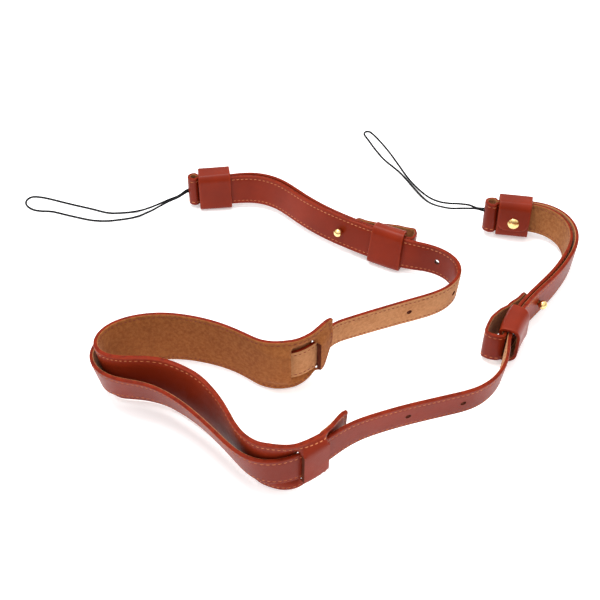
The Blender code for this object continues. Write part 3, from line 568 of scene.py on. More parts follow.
RIGHT_WAY = [Way(*row) for row in (
    (-0.0056, 0.0027, 0.0182), (-0.0102, 0.0076, 0.0166), (-0.0163, 0.0127, 0.0134),
    (-0.0224, 0.0172, 0.01), (-0.0287, 0.0229, 0.0068), (-0.0348, 0.0311, 0.0039),
    (-0.0409, 0.0422, 0.0019), (-0.0471, 0.0552, 0.0009), (-0.0532, 0.0712, 0.0006),
    (-0.0596, 0.0874, 0.0006), (-0.0663, 0.1014, 0.0006), (-0.0702, 0.1082, 0.0006),
    (-0.073, 0.1116, 0.0006), (-0.0761, 0.1113, 0.0006), (-0.0768, 0.108, 0.0006),
    (-0.074, 0.101, 0.0006), (-0.0691, 0.089, 0.0006), (-0.0634, 0.0776, 0.0006),
    (-0.057, 0.0686, 0.0006), (-0.0523, 0.0616, 0.0006), (-0.0473, 0.0514, 0.0009),
    (-0.0411, 0.0373, 0.002), (-0.0366, 0.027, 0.004), (-0.0322, 0.0206, 0.006),
    (-0.0262, 0.0142, 0.009), (-0.021, 0.0099, 0.0116), (-0.0138, 0.0063, 0.0148),
    (-0.006, 0.0032, 0.0171),
)]


def smooth_way(points):
    """A smooth curve through route points, sampled evenly."""
    points = np.array(points)
    before = np.concatenate([[2 * points[0] - points[1]], points[:-1]])
    after = np.concatenate([points[1:], [2 * points[-1] - points[-2]]])
    slopes = (after - before) / 2
    fine = []
    for index in range(len(points) - 1):
        for share in np.linspace(0, 1, 12, endpoint=False):
            square, cube = share**2, share**3
            fine.append(
                (2 * cube - 3 * square + 1) * points[index]
                + (cube - 2 * square + share) * slopes[index]
                + (3 * square - 2 * cube) * points[index + 1]
                + (cube - square) * slopes[index + 1]
            )
    fine = np.array([*fine, points[-1]])
    return sampled(fine, np.linspace(0, runs_along(fine)[-1], CORD_POINTS))


def cord_finish(name, length):
    """Black braid: two sets of strands wind round the cord and cross, with painted shade between
    them.
    """
    finish = Finish(name)
    parts = finish.add("SeparateXYZ", {0: finish.flat})
    along = Value(finish, parts.outputs[0]) * (length / 0.0016)
    round_it = Value(finish, parts.outputs[1]) * 4
    one = finish.add("Math", {0: (along + round_it) * math.pi}, operation="SINE")
    other = finish.add("Math", {0: (along - round_it) * math.pi}, operation="SINE")
    weave_and_valley_shade = (Value(finish, one.outputs[0]) * Value(finish, other.outputs[0])).between(-0.6, 0.6)
    hair = finish.noise(2500, 3)
    # The colour is painted shade: darker in the weave's valleys and lighter on its crests. The hair
    # noise adds the braid's own tone.
    colour = finish.mixed(weave_and_valley_shade * 0.6 + hair * 0.4, (0.002, 0.002, 0.0025), (0.012, 0.012, 0.014))
    finish.relief(weave_and_valley_shade * 0.8 + hair * 0.3, 0.6, 0.00015)
    return finish.shade(Base_Color=colour, Roughness=0.55 + 0.2 * hair, Specular_IOR_Level=0.12)


def add_cord(side, way):
    """A thin cord: tied inside the fold, out through its hole, round a loop and back."""
    fold = folds[side.name]
    apex, inset = fold.at(fold.apex, 0)
    origin = band.place(side.to_station(apex), inset, 0)
    knot = apex + side.loop
    stops = ((knot, KNOT_SPLIT), (knot - KNOT_LENGTH, KNOT_SPLIT))
    stops += ((apex + CORD_SQUARE, CORD_SPLIT), (apex - CORD_SQUARE, CORD_SPLIT))
    ends = [
        [
            band.place(side.to_station(across), inset, side.hole + turn * off)
            for across, off in stops
        ]
        for turn in (1, -1)
    ]
    floor_way = [(origin[0] + row.away, origin[1] + row.aside, row.high) for row in way]
    route = smooth_way([*ends[0][2:], *floor_way, *reversed(ends[1][2:])])
    points = [*ends[0][:2], *route, *reversed(ends[1][:2])]
    curve = bpy.data.curves.new(side.name + "_cord_loop", "CURVE")
    curve.dimensions = "3D"
    curve.bevel_depth = CORD_RADIUS
    curve.bevel_resolution = 2
    curve.use_fill_caps = True
    spline = curve.splines.new("POLY")
    spline.points.add(len(points) - 1)
    for index, point in enumerate(points):
        knotted = index < 2 or index >= len(points) - 2
        spline.points[index].co = (*point, 1)
        spline.points[index].radius = KNOT_RADIUS / CORD_RADIUS if knotted else 1
    piece = bpy.data.objects.new(curve.name, curve)
    scene.collection.objects.link(piece)
    length = float(np.sum(np.linalg.norm(np.diff(points, axis=0), axis=1)))
    choose(piece)
    bpy.ops.object.convert(target="MESH")
    paint(piece, cord_finish(side.name + "_cord_braid", length))
    settle(piece, "cord", side.name + "_cord")
    print(piece.name, "length in mm:", round(1000 * length, 1))


add_cord(LEFT, LEFT_WAY)
add_cord(RIGHT, RIGHT_WAY)

# %% [markdown]
# ## A leather blank
# Leather is cut flat. A blank here is a grid, laid grain side up, whose columns stand at chosen
# places along it and whose outer rows follow its outline closely. Solidify gives it its
# thickness. Its two faces then curve down to the painted edge, swell a little in the middle and
# sink along the line of stitches. Holes are punched while it is still flat, as on the bench.

# %% Blanks
RIM_ROWS = (0, 0.00012, 0.00036, 0.0007, 0.0016, 0.0024, 0.0032)
STITCH_LINE = 0.0024
ROW_KNEE = 0.004
SWELL_REACH = 0.009
GROOVE_WIDTH = 0.0005
HOLE_SIDES = 28
RIM_WALL = 0.0012
FLAT_SCALE = 10
SMOOTH_ANGLE = 42
LINE_STEP = 0.0004
Blank = namedtuple("Blank", "thick round_off crown groove")


def rim_distance(points, outline):
    """How far points of a flat blank are from its outline."""
    start, end = outline, np.roll(outline, -1, axis=0)
    step = end - start
    square = np.maximum((step**2).sum(axis=1), 1e-18)
    nearest = np.full(len(points), 1.0)
    for first in range(0, len(points), 4000):
        apart = points[first : first + 4000, None, :2] - start[None]
        share = np.clip((apart * step[None]).sum(axis=2) / square, 0, 1)
        gap = np.linalg.norm(apart - share[..., None] * step[None], axis=2)
        nearest[first : first + 4000] = gap.min(axis=1)
    return nearest


def face_height(distance, blank):
    """The height of a blank's face over its middle, by the distance from its outline."""
    inside = np.clip(blank.round_off - distance, 0, blank.round_off)
    height = blank.thick / 2 - blank.round_off + np.sqrt(blank.round_off**2 - inside**2)
    swell = blank.crown * eased(distance / SWELL_REACH)
    return height + swell - blank.groove * np.exp(-(((distance - STITCH_LINE) / GROOVE_WIDTH) ** 2))


def row_heights(low, high, knee):
    """The rows of a blank at each column: close along the rims, wider over the middle."""
    margin = RIM_ROWS[-1] + 0.0004
    centre = np.clip(0, low + margin, high - margin)
    rows = [low + off for off in RIM_ROWS]
    for sign, rim in ((-1, low), (1, high)):
        span = np.abs(rim - centre) - RIM_ROWS[-1]
        bend = np.minimum(knee, 0.9 * span)
        stops = [bend + (span - bend) * share for share in (0.66, 0.33, 0)]
        stops += [bend * share for share in (0.75, 0.5, 0.25)]
        side = [centre + sign * stop for stop in stops]
        rows += side + [centre] if sign < 0 else side[::-1]
    rows += [high - off for off in reversed(RIM_ROWS)]
    return np.stack(rows, axis=1)


def cut_blank(name, stations, low, high, blank, knee=ROW_KNEE):
    """A flat blank with its thickness, and its outline."""
    rows = row_heights(low, high, knee)
    columns, steps = len(stations) - 1, rows.shape[1] - 1
    start_alone()
    bpy.ops.mesh.primitive_grid_add(x_subdivisions=columns, y_subdivisions=steps, size=1)
    piece = bpy.context.object
    piece.name = piece.data.name = name
    points = points_of(piece)
    across = np.rint((points[:, 0] + 0.5) * columns).astype(int)
    up = np.rint((points[:, 1] + 0.5) * steps).astype(int)
    set_points(piece, np.stack([stations[across], rows[across, up], 0 * across], axis=1))
    outline = np.concatenate(
        [np.stack([stations, low], axis=1), np.stack([stations, high], axis=1)[::-1]]
    )
    wall = piece.modifiers.new("thickness", "SOLIDIFY")
    wall.thickness = blank.thick
    wall.offset = 0
    bpy.ops.object.modifier_apply(modifier=wall.name)
    points = points_of(piece)
    distance = rim_distance(points, outline)
    points[:, 2] = np.sign(points[:, 2]) * face_height(distance, blank)
    set_points(piece, points)
    return piece, outline


def punch(piece, holes, blank):
    """Punches round holes, each at a place and a radius, through a flat blank."""
    start_alone()
    tools = []
    for place, height, radius in holes:
        bpy.ops.mesh.primitive_cylinder_add(
            vertices=HOLE_SIDES, radius=radius, depth=4 * blank.thick, location=(place, height, 0)
        )
        tools.append(bpy.context.object)
    cut_with(piece, tools)


def cut_with(piece, tools):
    """Cuts tools out of a piece, and clears the tools away."""
    for thing in bpy.context.view_layer.objects:
        thing.select_set(thing in tools)
    bpy.context.view_layer.objects.active = tools[0]
    if len(tools) > 1:
        bpy.ops.object.join()
    tool = bpy.context.object
    choose(piece)
    cut = piece.modifiers.new("cut", "BOOLEAN")
    cut.operation = "DIFFERENCE"
    cut.solver = "EXACT"
    cut.object = tool
    bpy.ops.object.modifier_apply(modifier=cut.name)
    bpy.data.objects.remove(tool)


def dress_flat(piece, outline, finishes):
    """Gives a blank its finishes by the way its faces look, its flat map and its rim. The walls
    of holes and slots, away from the rim, are raw."""
    paint(piece, *finishes)
    points = points_of(piece)
    centres = np.array([face.center for face in piece.data.polygons])
    raw = rim_distance(centres, outline) > RIM_WALL
    for face, is_raw in zip(piece.data.polygons, raw):
        wall = 3 if is_raw else 2
        face.material_index = 0 if face.normal.z > 0.5 else 1 if face.normal.z < -0.5 else wall
    rim = piece.data.attributes.new("rim", "FLOAT", "POINT")
    rim.data.foreach_set("value", 1000 * rim_distance(points, outline))
    flat = piece.data.uv_layers.active or piece.data.uv_layers.new(name="flat")
    corner_points = np.zeros(len(piece.data.loops), int)
    piece.data.loops.foreach_get("vertex_index", corner_points)
    flat.data.foreach_set("uv", (points[corner_points, :2] * FLAT_SCALE).ravel())


def bend_round(piece, bend):
    """Bends a flat piece to its place, turns its faces outward and smooths it."""
    points = points_of(piece)
    set_points(piece, bend(points[:, 0], points[:, 1], points[:, 2]))
    choose(piece)
    bpy.ops.object.mode_set(mode="EDIT")
    bpy.ops.mesh.select_all(action="SELECT")
    bpy.ops.mesh.normals_make_consistent(inside=False)
    bpy.ops.object.mode_set(mode="OBJECT")
    bpy.ops.object.shade_smooth_by_angle(angle=math.radians(SMOOTH_ANGLE))


print("rows across a blank:", row_heights(np.array([-0.01]), np.array([0.01]), 0.006).shape[1])

# %% [markdown]
# ## Stitches
# The thread runs 2.4 mm inside the edge, with a stitch every 3 mm. One stitch is a small
# flattened ball whose ends dip into the leather. It is modelled once, and its copies are laid
# along the line on both faces of the flat blank, so that they bend round with it.

# %% One stitch
STITCH_PITCH = 0.0030
STITCH_LENGTH = 0.0021
STITCH_WIDTH = 0.00048
STITCH_HEIGHT = 0.00027
STITCH_REACH = 0.0006
STITCH_START = 0.0030

start_alone()
bpy.ops.mesh.primitive_uv_sphere_add(
    segments=6, ring_count=4, radius=0.5, rotation=(0, math.pi / 2, 0)
)
stitch = bpy.context.object
bpy.ops.object.transform_apply(location=False, rotation=True, scale=False)
bpy.ops.object.mode_set(mode="EDIT")
bpy.ops.mesh.select_all(action="SELECT")
bpy.ops.transform.resize(value=(STITCH_LENGTH, STITCH_WIDTH, 2 * STITCH_HEIGHT))
bpy.ops.object.mode_set(mode="OBJECT")
stitch_points = points_of(stitch)
ends_dip = 0.00016 * (2 * stitch_points[:, 0] / STITCH_LENGTH) ** 2
stitch_points[:, 2] += 0.00010 - ends_dip
stitch_faces = [list(face.vertices) for face in stitch.data.polygons]
bpy.data.objects.remove(stitch)


def thread_finish(name, dye, light, deep):
    """Waxed thread."""
    finish = Finish(name)
    twist = finish.noise(2200, 2)
    tone = finish.noise(60, 2)
    colour = finish.mixed(tone.between(0.3, 0.7), dye, light)
    colour = finish.mixed(twist.between(0.5, 0.8) * 0.5, colour, deep)
    finish.relief(twist, 0.5, 0.0001)
    return finish.shade(Base_Color=colour, Roughness=0.55 + 0.15 * twist, Specular_IOR_Level=0.4)


TOP_THREAD = thread_finish(
    "orange_thread", (0.44, 0.115, 0.036), (0.58, 0.19, 0.07), (0.30, 0.06, 0.02)
)
BACK_THREAD = thread_finish(
    "red_thread", (0.17, 0.022, 0.008), (0.24, 0.035, 0.012), (0.10, 0.012, 0.005)
)


def inside_line(outline, closed):
    """An outline's line of stitches: the outline moved inward, without its tangled corners."""
    step = np.roll(outline, -1, axis=0) - outline
    dense = []
    for start, move in zip(outline, step):
        count = max(int(np.linalg.norm(move) / LINE_STEP), 1)
        dense += [start + move * share for share in np.arange(count) / count]
    dense = np.array(dense)
    ahead = np.roll(dense, -1, axis=0) - np.roll(dense, 1, axis=0)
    inward = np.stack([-ahead[:, 1], ahead[:, 0]], axis=1)
    inward /= np.maximum(np.linalg.norm(inward, axis=1)[:, None], 1e-12)
    line = dense + inward * STITCH_LINE
    line = line[rim_distance(line, outline) > 0.985 * STITCH_LINE]
    return np.concatenate([line, line[:1]]) if closed else line


def stitch_row(line, blank):
    """The points of each stitch along a line, on both faces of a flat blank."""
    length = runs_along(line)[-1]
    count = int(length / STITCH_PITCH)
    middles = (np.arange(count) + 0.5) * length / count
    row = []
    rest = face_height(np.array([STITCH_LINE]), blank)[0]
    for face_up, phase in ((1, 0), (-1, 0.5)):
        shifted = np.minimum(middles + phase * STITCH_PITCH, length - STITCH_PITCH / 2)
        places = (sampled(line, shifted + off) for off in (0, -STITCH_REACH, STITCH_REACH))
        for number, (here, back, ahead) in enumerate(zip(*places)):
            way = (ahead - back) / max(np.linalg.norm(ahead - back), 1e-9)
            slant = 0.05 + 0.03 * math.sin(2.4 * number)
            way = np.array([way[0] - slant * way[1], way[1] + slant * way[0]])
            made = np.empty_like(stitch_points)
            made[:, 0] = here[0] + stitch_points[:, 0] * way[0] - stitch_points[:, 1] * way[1]
            made[:, 1] = here[1] + stitch_points[:, 0] * way[1] + stitch_points[:, 1] * way[0]
            made[:, 2] = face_up * (rest + stitch_points[:, 2])
            row.append(made)
    return row


def sew(name, lines, blank, bend, slot):
    """One piece with all the stitches of a leather piece, bent round with it."""
    points = np.concatenate([stitch for line in lines for stitch in stitch_row(line, blank)])
    starts = range(0, len(points), len(stitch_points))
    faces = [[start + vertex for vertex in face] for start in starts for face in stitch_faces]
    mesh = bpy.data.meshes.new(name)
    mesh.from_pydata(points.tolist(), [], faces)
    piece = bpy.data.objects.new(name, mesh)
    scene.collection.objects.link(piece)
    paint(piece, TOP_THREAD, BACK_THREAD)
    for face in mesh.polygons:
        face.material_index = 0 if face.center.z > 0 else 1
    bend_round(piece, bend)
    bpy.ops.object.shade_smooth()
    settle(piece, slot)


print("one stitch has faces:", len(stitch_faces))

# %% [markdown]
# ## The main strap
# Nearly a metre of leather, 21.5 mm wide, with five round holes near each end for the studs.
# The blank is punched flat and then follows the route on its edge.

# %% The main strap
HOLE_RADIUS = 0.0018
HOLE_PITCH = 0.0345
HOLES_EACH_SIDE = 5
strap_blank = Blank(0.0024, 0.0007, 0.00012, 0.00014)


def end_stations(length, step):
    """Places along a blank, closer at both ends, where its outline turns."""
    ends = np.array(RIM_ROWS)
    count = round((length - 2 * ends[-1]) / step)
    middle = np.linspace(ends[-1], length - ends[-1], count + 1)
    return np.concatenate([ends[:-1], middle, length - ends[-2::-1]])


def bend_strap(run, height, off):
    """The main strap's way: its grain side faces away from the flesh side's inset."""
    return band.place(run, -off, height)


stations = end_stations(STRAP_LENGTH, 0.0018)
half = np.full(len(stations), STRAP_WIDTH / 2)
strap, strap_outline = cut_blank("strap_leather_band", stations, -half, half, strap_blank)
holes = [
    (side.to_station(side.stud + HOLE_PITCH * index), 0, HOLE_RADIUS)
    for side in (LEFT, RIGHT)
    for index in range(HOLES_EACH_SIDE)
]
punch(strap, holes, strap_blank)
dress_flat(strap, strap_outline, (GRAIN, SUEDE, EDGE, RAW_CUT))
bend_round(strap, bend_strap)
settle(strap, "strap_leather", "main_strap")
rows = []
for sign in (-1, 1):
    height = sign * (STRAP_WIDTH / 2 - STITCH_LINE)
    rows.append(np.array([(STITCH_START, height), (STRAP_LENGTH - STITCH_START, height)]))
sew("strap_stitching", rows, strap_blank, bend_strap, "strap_leather")

# %% [markdown]
# ## The shoulder pad
# The pad is a wide blank with a wavy outline that is threaded on the strap: through two slots at
# each end the strap passes behind a narrow bridge. It stands a little off the strap where
# it bends. The slots are cut flat, and the bend carries the bridges over the strap.

# %% The shoulder pad
PAD_SPAN = 0.3500
PAD_SHIFT = 0.0058
PAD_THICK = 0.0032
PAD_SLACK = 0.0072
FAR_SLOT_FROM_TIP = 0.0122
NEAR_SLOT_FROM_TIP = 0.0203
SLOT_PITCH = 0.0170
SLOT_OPENING = 0.0009
SLOT_RELIEF = 0.0001
SLOT_COLUMNS = (0.00045, 0.0014, 0.0024, 0.0035)
SLOT_CLEAR = 0.0042
BRIDGE_RAMP = 0.0065
LOWER_RAMP = 0.0046
TIP_LIFT = 0.0125
PINCH_SPREAD = 0.0030
RIM_SHARE = 0.45
LOWER_SHARE = 0.58
RIM_FADE = 0.020
PAD_LAYER = STRAP_FACE + GAP + PAD_THICK / 2
PAD_START = (STRAP_LENGTH - PAD_SPAN) / 2 + PAD_SHIFT
ROOM_HALF = STRAP_WIDTH / 2 + GAP
SLOT_HALF = ROOM_HALF + SLOT_RELIEF

Width = namedtuple("Width", "share width lift")
Slack = namedtuple("Slack", "share slack lean")
PAD_WIDTHS = [Width(*row) for row in (
    (0, 0.48, 1.04), (0.004, 0.55, 1), (0.018, 0.77, 0.53), (0.026, 0.82, 0.37),
    (0.036, 0.86, 0.22), (0.052, 0.92, 0.12), (0.07, 0.98, 0.05), (0.088, 1, 0.02),
    (0.11, 0.98, 0), (0.135, 0.91, 0), (0.16, 0.87, 0), (0.19, 0.86, 0), (0.325, 0.91, 0),
    (0.5, 0.93, 0), (0.675, 0.91, 0), (0.77, 0.93, 0), (0.8, 0.98, 0), (0.828, 1, 0),
    (0.85, 0.99, 0), (0.875, 0.95, 0.01), (0.9, 0.85, 0.055), (0.925, 0.75, 0.11),
    (0.95, 0.73, 0.13), (0.97, 0.66, 0.2), (0.985, 0.58, 0.27), (0.995, 0.45, 0.42),
    (1, 0.35, 0.48),
)]
PAD_SLACKS = [Slack(*row) for row in (
    (0, 0.06, 0), (0.04, 0, 0), (0.11, 0, 0), (0.25, 0.07, 0), (0.42, 0.07, 0), (0.48, 0.18, -3),
    (0.545, 0.62, -12), (0.6, 0.96, -21), (0.655, 1, -26), (0.71, 0.78, -20), (0.77, 0.4, -9),
    (0.81, 0.2, -4), (0.84, 0.08, 0), (0.9, 0, 0), (0.962, 0, 0), (1, 0.5, 0),
)]
pad_blank = Blank(0.0027, 0.0008, 0.00022, 0.00016)
pad_shares = np.linspace(0, 1, 701)
easy_slacks = {
    name: running_mean(column(PAD_SLACKS, name, pad_shares), 14) for name in ("slack", "lean")
}


def slot_stations():
    """The pad's slots, in pairs from its far tip."""
    far = PAD_START + FAR_SLOT_FROM_TIP
    near = PAD_START + PAD_SPAN - NEAR_SLOT_FROM_TIP
    return (far, far + SLOT_PITCH), (near - SLOT_PITCH, near)


def bridge_share(station, height):
    """How far the pad has crossed from the flesh side, 0, to its bridge over the strap, 1."""
    above = np.abs(height)
    spread = SLOT_OPENING / 2 + PINCH_SPREAD * np.clip((above - SLOT_HALF) / PINCH_SPREAD, 0, 1)
    rim = eased((above - ROOM_HALF) / np.where(height > 0, BRIDGE_RAMP, LOWER_RAMP))
    crossed = beside = 0
    for first, last in slot_stations():
        rising = eased((station - first + spread) / (2 * spread))
        falling = eased((last + spread - station) / (2 * spread))
        crossed = np.maximum(crossed, np.minimum(rising, falling))
        outside = np.maximum(np.maximum(first - station, station - last), 0)
        beside = np.maximum(beside, 1 - eased(outside / RIM_FADE))
    return crossed * (1 - rim) + np.where(height > 0, RIM_SHARE, LOWER_SHARE) * rim * beside


def bend_pad(station, height, off):
    """The pad's way: beside the strap, off it where it bends, and over it at the bridges."""
    share = (station - PAD_START) / PAD_SPAN
    aside = PAD_SLACK * np.interp(share, pad_shares, easy_slacks["slack"])
    lean = np.radians(np.interp(share, pad_shares, easy_slacks["lean"]))
    across = PAD_LAYER * (1 - 2 * bridge_share(station, height)) - off
    inset = across * np.cos(lean) - height * np.sin(lean)
    return band.place(station, inset, height * np.cos(lean) + across * np.sin(lean), aside)


places = PAD_START + end_stations(PAD_SPAN, 0.0015)
slots = [slot for pair in slot_stations() for slot in pair]
near_slot = [slot + sign * off for slot in slots for sign in (-1, 1) for off in SLOT_COLUMNS]
places = places[np.min(np.abs(places[:, None] - np.array(slots)[None]), axis=1) > SLOT_CLEAR]
places = np.sort(np.concatenate([places, near_slot]))
shares = (places - PAD_START) / PAD_SPAN
between_tips = eased((0.5 - np.abs(pad_shares - 0.5)) / 0.09)


def softened(name):
    """One column of the widths, a little rounded at the tips and more between them."""
    values = column(PAD_WIDTHS, name, pad_shares)
    little, more = running_mean(values, 5), running_mean(values, 16)
    return np.interp(shares, pad_shares, little + (more - little) * between_tips)


half, lift = softened("width"), softened("lift")
half, lift = half * PAD_WIDTH / 2, lift * TIP_LIFT
pad, pad_outline = cut_blank(
    "pad_leather_wing", places, lift - half, lift + half, pad_blank, SLOT_HALF
)
start_alone()
tools = []
for slot in slots:
    bpy.ops.mesh.primitive_cube_add(size=1, location=(slot, 0, 0))
    bpy.context.object.scale = (SLOT_OPENING, 2 * SLOT_HALF, 4 * PAD_THICK)
    bpy.ops.object.transform_apply(location=True, rotation=False, scale=True)
    tools.append(bpy.context.object)
cut_with(pad, tools)
dress_flat(pad, pad_outline, (PAD_GRAIN, PAD_SUEDE, EDGE, RAW_CUT))
bend_round(pad, bend_pad)
settle(pad, "pad_leather", "shoulder_pad")
pad_line = inside_line(pad_outline, True)
sew("pad_stitching", [pad_line], pad_blank, bend_pad, "pad_leather")

# %% [markdown]
# ## The end straps
# They are thinner than the main strap and end in a rounded tip. Their blank is as long as the
# whole fold, with a hole for the stud, one for the rivet in each layer and one for the cord.

# %% The end straps
TIP_CORNER = 0.0050
CORD_HOLE_RADIUS = 0.0018
POST_RADIUS = 0.0013
RIVET_BELOW = 0.0012
TAIL_BARE = 0.0040
end_blank = Blank(0.0020, 0.0006, 0.00008, 0.00012)


def corner_stations(corner):
    """Distances from a blank's rounded end, closer where its outline turns."""
    return corner * (1 - np.cos(np.radians(np.arange(0, 90, 9))))


def corner_half(distance, half, corner):
    """Half the width of a blank with a rounded end, by the distance from that end."""
    inside = np.clip(corner - distance, 0, corner)
    return half - corner + np.sqrt(corner**2 - inside**2)


def add_end_strap(side):
    """A narrow strap that holds the cord at one end and its keeper at the other."""
    fold = folds[side.name]
    stations = end_stations(fold.length, 0.0009)
    stations = np.concatenate([corner_stations(TIP_CORNER), stations[stations > TIP_CORNER]])
    half = corner_half(stations, STRAP_WIDTH / 2, TIP_CORNER)
    name = side.name + "_end_strap_leather"
    piece, outline = cut_blank(name, stations, -half, half, end_blank)
    apex, slide_end = fold.apex, fold.far
    rivet = KEEPER_LENGTH / 2 - KEEPER_LIP
    holes = [(fold.passes(side.stud, slide_end, apex), 0, HOLE_RADIUS)]
    holes.append((apex, side.hole, CORD_HOLE_RADIUS))
    holes.append((fold.passes(rivet, slide_end, apex), -RIVET_BELOW, POST_RADIUS + GAP))
    holes.append((fold.passes(rivet, apex, fold.length), -RIVET_BELOW, POST_RADIUS + GAP))
    punch(piece, holes, end_blank)
    dress_flat(piece, outline, (END_GRAIN, END_SUEDE, EDGE, RAW_CUT))

    def bend(run, height, off):
        across, inset = fold.at(run, off)
        return band.place(side.to_station(across), inset, height)

    bend_round(piece, bend)
    settle(piece, "end_leather", side.name + "_end_strap")
    line = inside_line(outline, False)
    line = line[line[:, 0] < fold.length - TAIL_BARE]
    start = int(np.argmax(line[:, 0] * (line[:, 1] > 0)))
    line = np.roll(line, -start, axis=0)
    sew(side.name + "_end_strap_stitching", [line], end_blank, bend, "end_leather")


for side in (LEFT, RIGHT):
    add_end_strap(side)

# %% [markdown]
# ## The keepers
# A keeper is a short wide strip wrapped round the layers. The cord keepers lap over themselves
# on the flesh side, with rounded lower corners, and are riveted. The sliding keepers close
# edge to edge under the end strap's tip. Their strips follow a rounded section.

# %% The keepers
FLAP_FOOT = 0.0062
FLAP_CORNER = 0.0068
PLY_START = 0.0026
KEEPER_CROWN = 0.0008
LOW_TURN = (0.0023, 0.0023)
CROWN_TURN = (0.0028, 0.0045)
LOOSE_TURN = (0.9, 1.6)
CORNER_POINTS = 14
keeper_blank = Blank(KEEPER_WALL, 0.00055, 0, 0)


def corner(tip, radii, start):
    """The quarter turn that rounds a section's corner, clockwise from an angle in degrees."""
    middle = math.radians(start - 45)
    x = tip[0] - math.copysign(radii[0], math.cos(middle))
    y = tip[1] - math.copysign(radii[1], math.sin(middle))
    angles = np.radians(np.linspace(start, start - 90, CORNER_POINTS))
    return [(x + radii[0] * math.cos(a), y + radii[1] * math.sin(a)) for a in angles]


def section_line(points):
    """A section's line, sampled finely and hardly rounded."""
    return rounded_line(points, 0.0001, 0.0004, 1)


def cord_keeper_section():
    """Down the flesh side, under the layers, up the grain side and over to the flap."""
    inner = CORD_ROOM + KEEPER_WALL / 2
    outer = inner + KEEPER_WALL
    grain = GRAIN_ROOM - KEEPER_WALL / 2
    top = KEEPER_ROOM + KEEPER_WALL / 2
    points = [(inner, top - PLY_START), (inner, -top + LOW_TURN[1])]
    points += corner((inner, -top), LOW_TURN, 0) + corner((grain, -top), LOW_TURN, -90)
    top += KEEPER_CROWN
    points += corner((grain, top), CROWN_TURN, 180) + corner((outer, top), CROWN_TURN, 90)
    points.append((outer, -KEEPER_HALF + FLAP_FOOT))
    return section_line(points)


def slide_keeper_section(side):
    """Once round from the middle of the flesh side, rounder on the loose grain side."""
    flesh = SLIDE_ROOM + KEEPER_WALL / 2
    grain = -STRAP_FACE - side.slack - KEEPER_WALL / 2
    top = KEEPER_ROOM + KEEPER_WALL / 2
    room = side.slack - GAP
    loose = [turn + share * room for turn, share in zip(LOW_TURN, LOOSE_TURN)]
    points = [(flesh, 0), (flesh, -top + LOW_TURN[1])]
    points += corner((flesh, -top), LOW_TURN, 0) + corner((grain, -top), loose, -90)
    top += KEEPER_CROWN
    crown = [max(pair) for pair in zip(loose, CROWN_TURN)]
    points += corner((grain, top), crown, 180) + corner((flesh, top), LOW_TURN, 90)
    points.append((flesh, 0.00001))
    return section_line(points)


def add_keeper(side, kind, section, start, flap):
    """A strip wrapped round a section line, from a distance from the strap's end."""
    node = f"{side.name}_{kind}"
    stations = end_stations(section.length, 0.0007)
    half = np.full(len(stations), KEEPER_LENGTH / 2)
    if flap:
        turns = section.length - corner_stations(FLAP_CORNER)[::-1]
        stations = np.concatenate([stations[stations < section.length - FLAP_CORNER], turns])
        half = corner_half(section.length - stations, KEEPER_LENGTH / 2, FLAP_CORNER)
    piece, outline = cut_blank(node + "_leather", stations, -half, half, keeper_blank)
    if flap:
        punch(piece, [(section.length - RIVET_UP, 0, POST_RADIUS + GAP)], keeper_blank)
    dress_flat(piece, outline, (GRAIN, SUEDE, EDGE, RAW_CUT))
    middle = start + KEEPER_LENGTH / 2

    def bend(run, along, off):
        inset, height = section.at(run, off)
        return band.place(side.to_station(middle + along), inset, height)

    bend_round(piece, bend)
    settle(piece, "strap_leather", node)


RIVET_UP = KEEPER_HALF - FLAP_FOOT - RIVET_BELOW
for side in (LEFT, RIGHT):
    add_keeper(side, "cord_keeper", cord_keeper_section(), -KEEPER_LIP, True)
    add_keeper(side, "slide_keeper", slide_keeper_section(side), side.stud + STUD_TO_KEEPER, False)

# %% [markdown]
# ## Brass
# A stud is a ball on a short neck, with a flat base behind the leather. A rivet is a low dome.
# Both are turned on a lathe, so each is half an outline spun round its axis. A circle's points
# are set on the outline, the spin makes the body, and the doubled points are merged.

# %% Brass pieces
BALL_RADIUS = 0.0029
STUD_BASE_THICK = 0.0009
RIVET_RADIUS = 0.0039
RIVET_HEIGHT = 0.0018
RIVET_STAND = 0.00005
BALL_STAND = 0.86
BALL_STEPS = 14


def brass_finish():
    """Polished yellow brass with fine scratches and a little tarnish."""
    finish = Finish("polished_brass")
    scratch = finish.noise(2400, 2, 0.7)
    tarnish = finish.noise(420, 3)
    colour = finish.mixed(tarnish.between(0.45, 0.75), (0.86, 0.62, 0.27), (0.62, 0.40, 0.13))
    finish.relief(scratch, 0.12, 0.00005)
    return finish.shade(Base_Color=colour, Metallic=1.0, Roughness=0.14 + 0.16 * tarnish)


BRASS = brass_finish()


def turn_brass(name, node, outline, station, height):
    """Spins half an outline of radius and inset round its axis, and sets it in its place."""
    start_alone()
    bpy.ops.mesh.primitive_circle_add(vertices=len(outline), radius=0.01, fill_type="NOTHING")
    piece = bpy.context.object
    piece.name = piece.data.name = name
    set_points(piece, [(radius, along, 0) for radius, along in outline])
    bpy.ops.object.mode_set(mode="EDIT")
    bpy.ops.mesh.select_all(action="SELECT")
    bpy.ops.mesh.spin(steps=36, angle=2 * math.pi, center=(0, 0, 0), axis=(0, 1, 0))
    bpy.ops.mesh.select_all(action="SELECT")
    bpy.ops.mesh.remove_doubles(threshold=0.000004)
    bpy.ops.mesh.dissolve_degenerate(threshold=0.000002)
    bpy.ops.mesh.delete_loose()
    bpy.ops.object.mode_set(mode="OBJECT")
    paint(piece, BRASS)
    origin = band.place(station, 0, height)
    ahead = band.place(station + 0.0005, 0, height) - band.place(station - 0.0005, 0, height)
    inward = band.place(station, 0.001, height) - origin
    ahead, inward = ahead / np.linalg.norm(ahead), inward / np.linalg.norm(inward)
    inward = inward - ahead * float(inward @ ahead)
    inward /= np.linalg.norm(inward)
    axes = np.stack([ahead, inward, np.cross(ahead, inward)])
    bend_round(piece, lambda *turned: origin + np.stack(turned, axis=1) @ axes)
    settle(piece, "brass", node)


